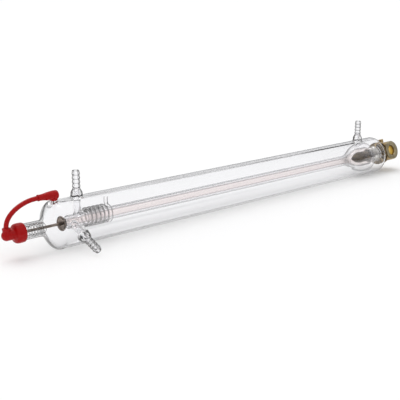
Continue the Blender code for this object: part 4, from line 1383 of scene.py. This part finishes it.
@dataclass
class Studio:
    """Floor, light and camera."""

    camera_place: Triple = (-1.0547, -0.7210, 0.2480)
    camera_right: Triple = (0.74429, -0.66785, 0.0)
    camera_up: Triple = (0.17157, 0.19121, 0.96644)
    lens: float = 71.1
    sensor: float = 36.0
    clip: Span = (0.01, 200.0)
    floor_height: float = -27.5 * MM
    floor_size: float = 120.0
    floor_grey: Colour = (0.88, 0.88, 0.88)
    floor_glow: float = 0.07
    sky: tuple[tuple[float, Colour], ...] = (
        (0.07, (0.20, 0.20, 0.205)), (0.2, (0.70, 0.70, 0.71)), (0.75, (0.86, 0.86, 0.86)))
    sun_power: float = 0.9
    sun_width: float = math.radians(45.0)
    sun_aim: Triple = (0.0, -0.35, -1.0)

    def build_floor(self) -> None:
        """Plain white floor that runs past the picture."""
        bpy.ops.object.select_all(action="DESELECT")
        bpy.ops.mesh.primitive_plane_add(size=self.floor_size, location=(0, 0, 0))
        floor = bpy.context.active_object
        floor.name = "floor"
        floor.data.transform(Matrix.Translation((0.0, 0.0, self.floor_height)))
        material, nodes, shader, _ = new_material("floor_paper")
        nodes.fill(shader, Base_Color=self.floor_grey, Roughness=0.9, Specular_IOR_Level=0.1,
                   Emission_Color=(1.0, 1.0, 1.0), Emission_Strength=self.floor_glow)
        floor.data.materials.append(material)

    def build_world(self) -> None:
        """Soft surround: bright overhead, dark cards near the horizon."""
        world = bpy.data.worlds.new("surround")
        bpy.context.scene.world = world
        world.use_nodes = True
        nodes = Nodes(world.node_tree)
        spot = nodes.add("ShaderNodeTexCoord").outputs["Generated"]
        parts = nodes.fill(nodes.add("ShaderNodeSeparateXYZ"), Vector=spot)
        shades = nodes.fill(nodes.add("ShaderNodeValToRGB"), Fac=parts.outputs["Z"])
        steps = shades.color_ramp.elements
        steps[0].position, middle, steps[1].position = (height for height, _ in self.sky)
        steps.new(middle)
        for step, (_, colour) in zip(steps, self.sky):
            step.color = (*colour, 1.0)
        light = nodes.fill(nodes.add("ShaderNodeBackground"), Color=shades.outputs["Color"],
                           Strength=1.0)
        nodes.fill(nodes.add("ShaderNodeOutputWorld"), Surface=light.outputs["Background"])

    def build_sun(self) -> None:
        """Wide soft light from above and a little behind, even over the whole floor."""
        data = bpy.data.lights.new("overhead", "SUN")
        data.energy = self.sun_power
        data.angle = self.sun_width
        item = bpy.data.objects.new("overhead", data)
        bpy.context.scene.collection.objects.link(item)
        item.rotation_euler = Vector(self.sun_aim).to_track_quat("-Z", "Y").to_euler()

    def build_camera(self) -> None:
        """Camera at the photograph's place and angle."""
        data = bpy.data.cameras.new("camera")
        data.lens = self.lens
        data.sensor_width = self.sensor
        data.clip_start, data.clip_end = self.clip
        item = bpy.data.objects.new("camera", data)
        bpy.context.scene.collection.objects.link(item)
        right = Vector(self.camera_right).normalized()
        up = Vector(self.camera_up).normalized()
        turn = Matrix((right, up, right.cross(up))).transposed().to_4x4()
        item.matrix_world = Matrix.Translation(Vector(self.camera_place)) @ turn
        bpy.context.scene.camera = item

    def build(self) -> None:
        """Make the whole studio."""
        self.build_floor()
        self.build_world()
        self.build_sun()
        self.build_camera()
        scene = bpy.context.scene
        scene.view_settings.view_transform = "Standard"
        scene.cycles.max_bounces = 40
        scene.cycles.transmission_bounces = 40
        scene.cycles.glossy_bounces = 12
        scene.cycles.transparent_max_bounces = 64


def nipples() -> list[Nipple]:
    """The top, the rear and the side nipple.

    Returns:
        The nipples.
    """
    lean = math.radians(69.0)
    aside = Vector((0.0, -math.sin(lean), -math.cos(lean)))
    return [Nipple(-591.2 * MM, UP), Nipple(-87.0 * MM, UP), Nipple(-600.9 * MM, aside)]


def main() -> None:
    """Build the tube's finishes and pieces, then the studio."""
    logging.basicConfig(level=logging.INFO, format="%(message)s")
    finishes = Finishes()
    finishes.build()
    for name, finish in KEPT_NODE_FINISH.items():
        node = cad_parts[name]
        finishes.dress(node, finish)
        Bench.smooth(node)
    taps = nipples()
    jacket = WaterJacket(finishes)
    GlassEnvelope(finishes).build(jacket, taps)
    jacket.build(taps)
    for kind in (DischargeTube, ReturnCoil, NeckBellows, Electrodes, RedLead, OutputHead):
        kind(finishes).build()
    Studio().build()


if __name__ == "__main__":
    main()
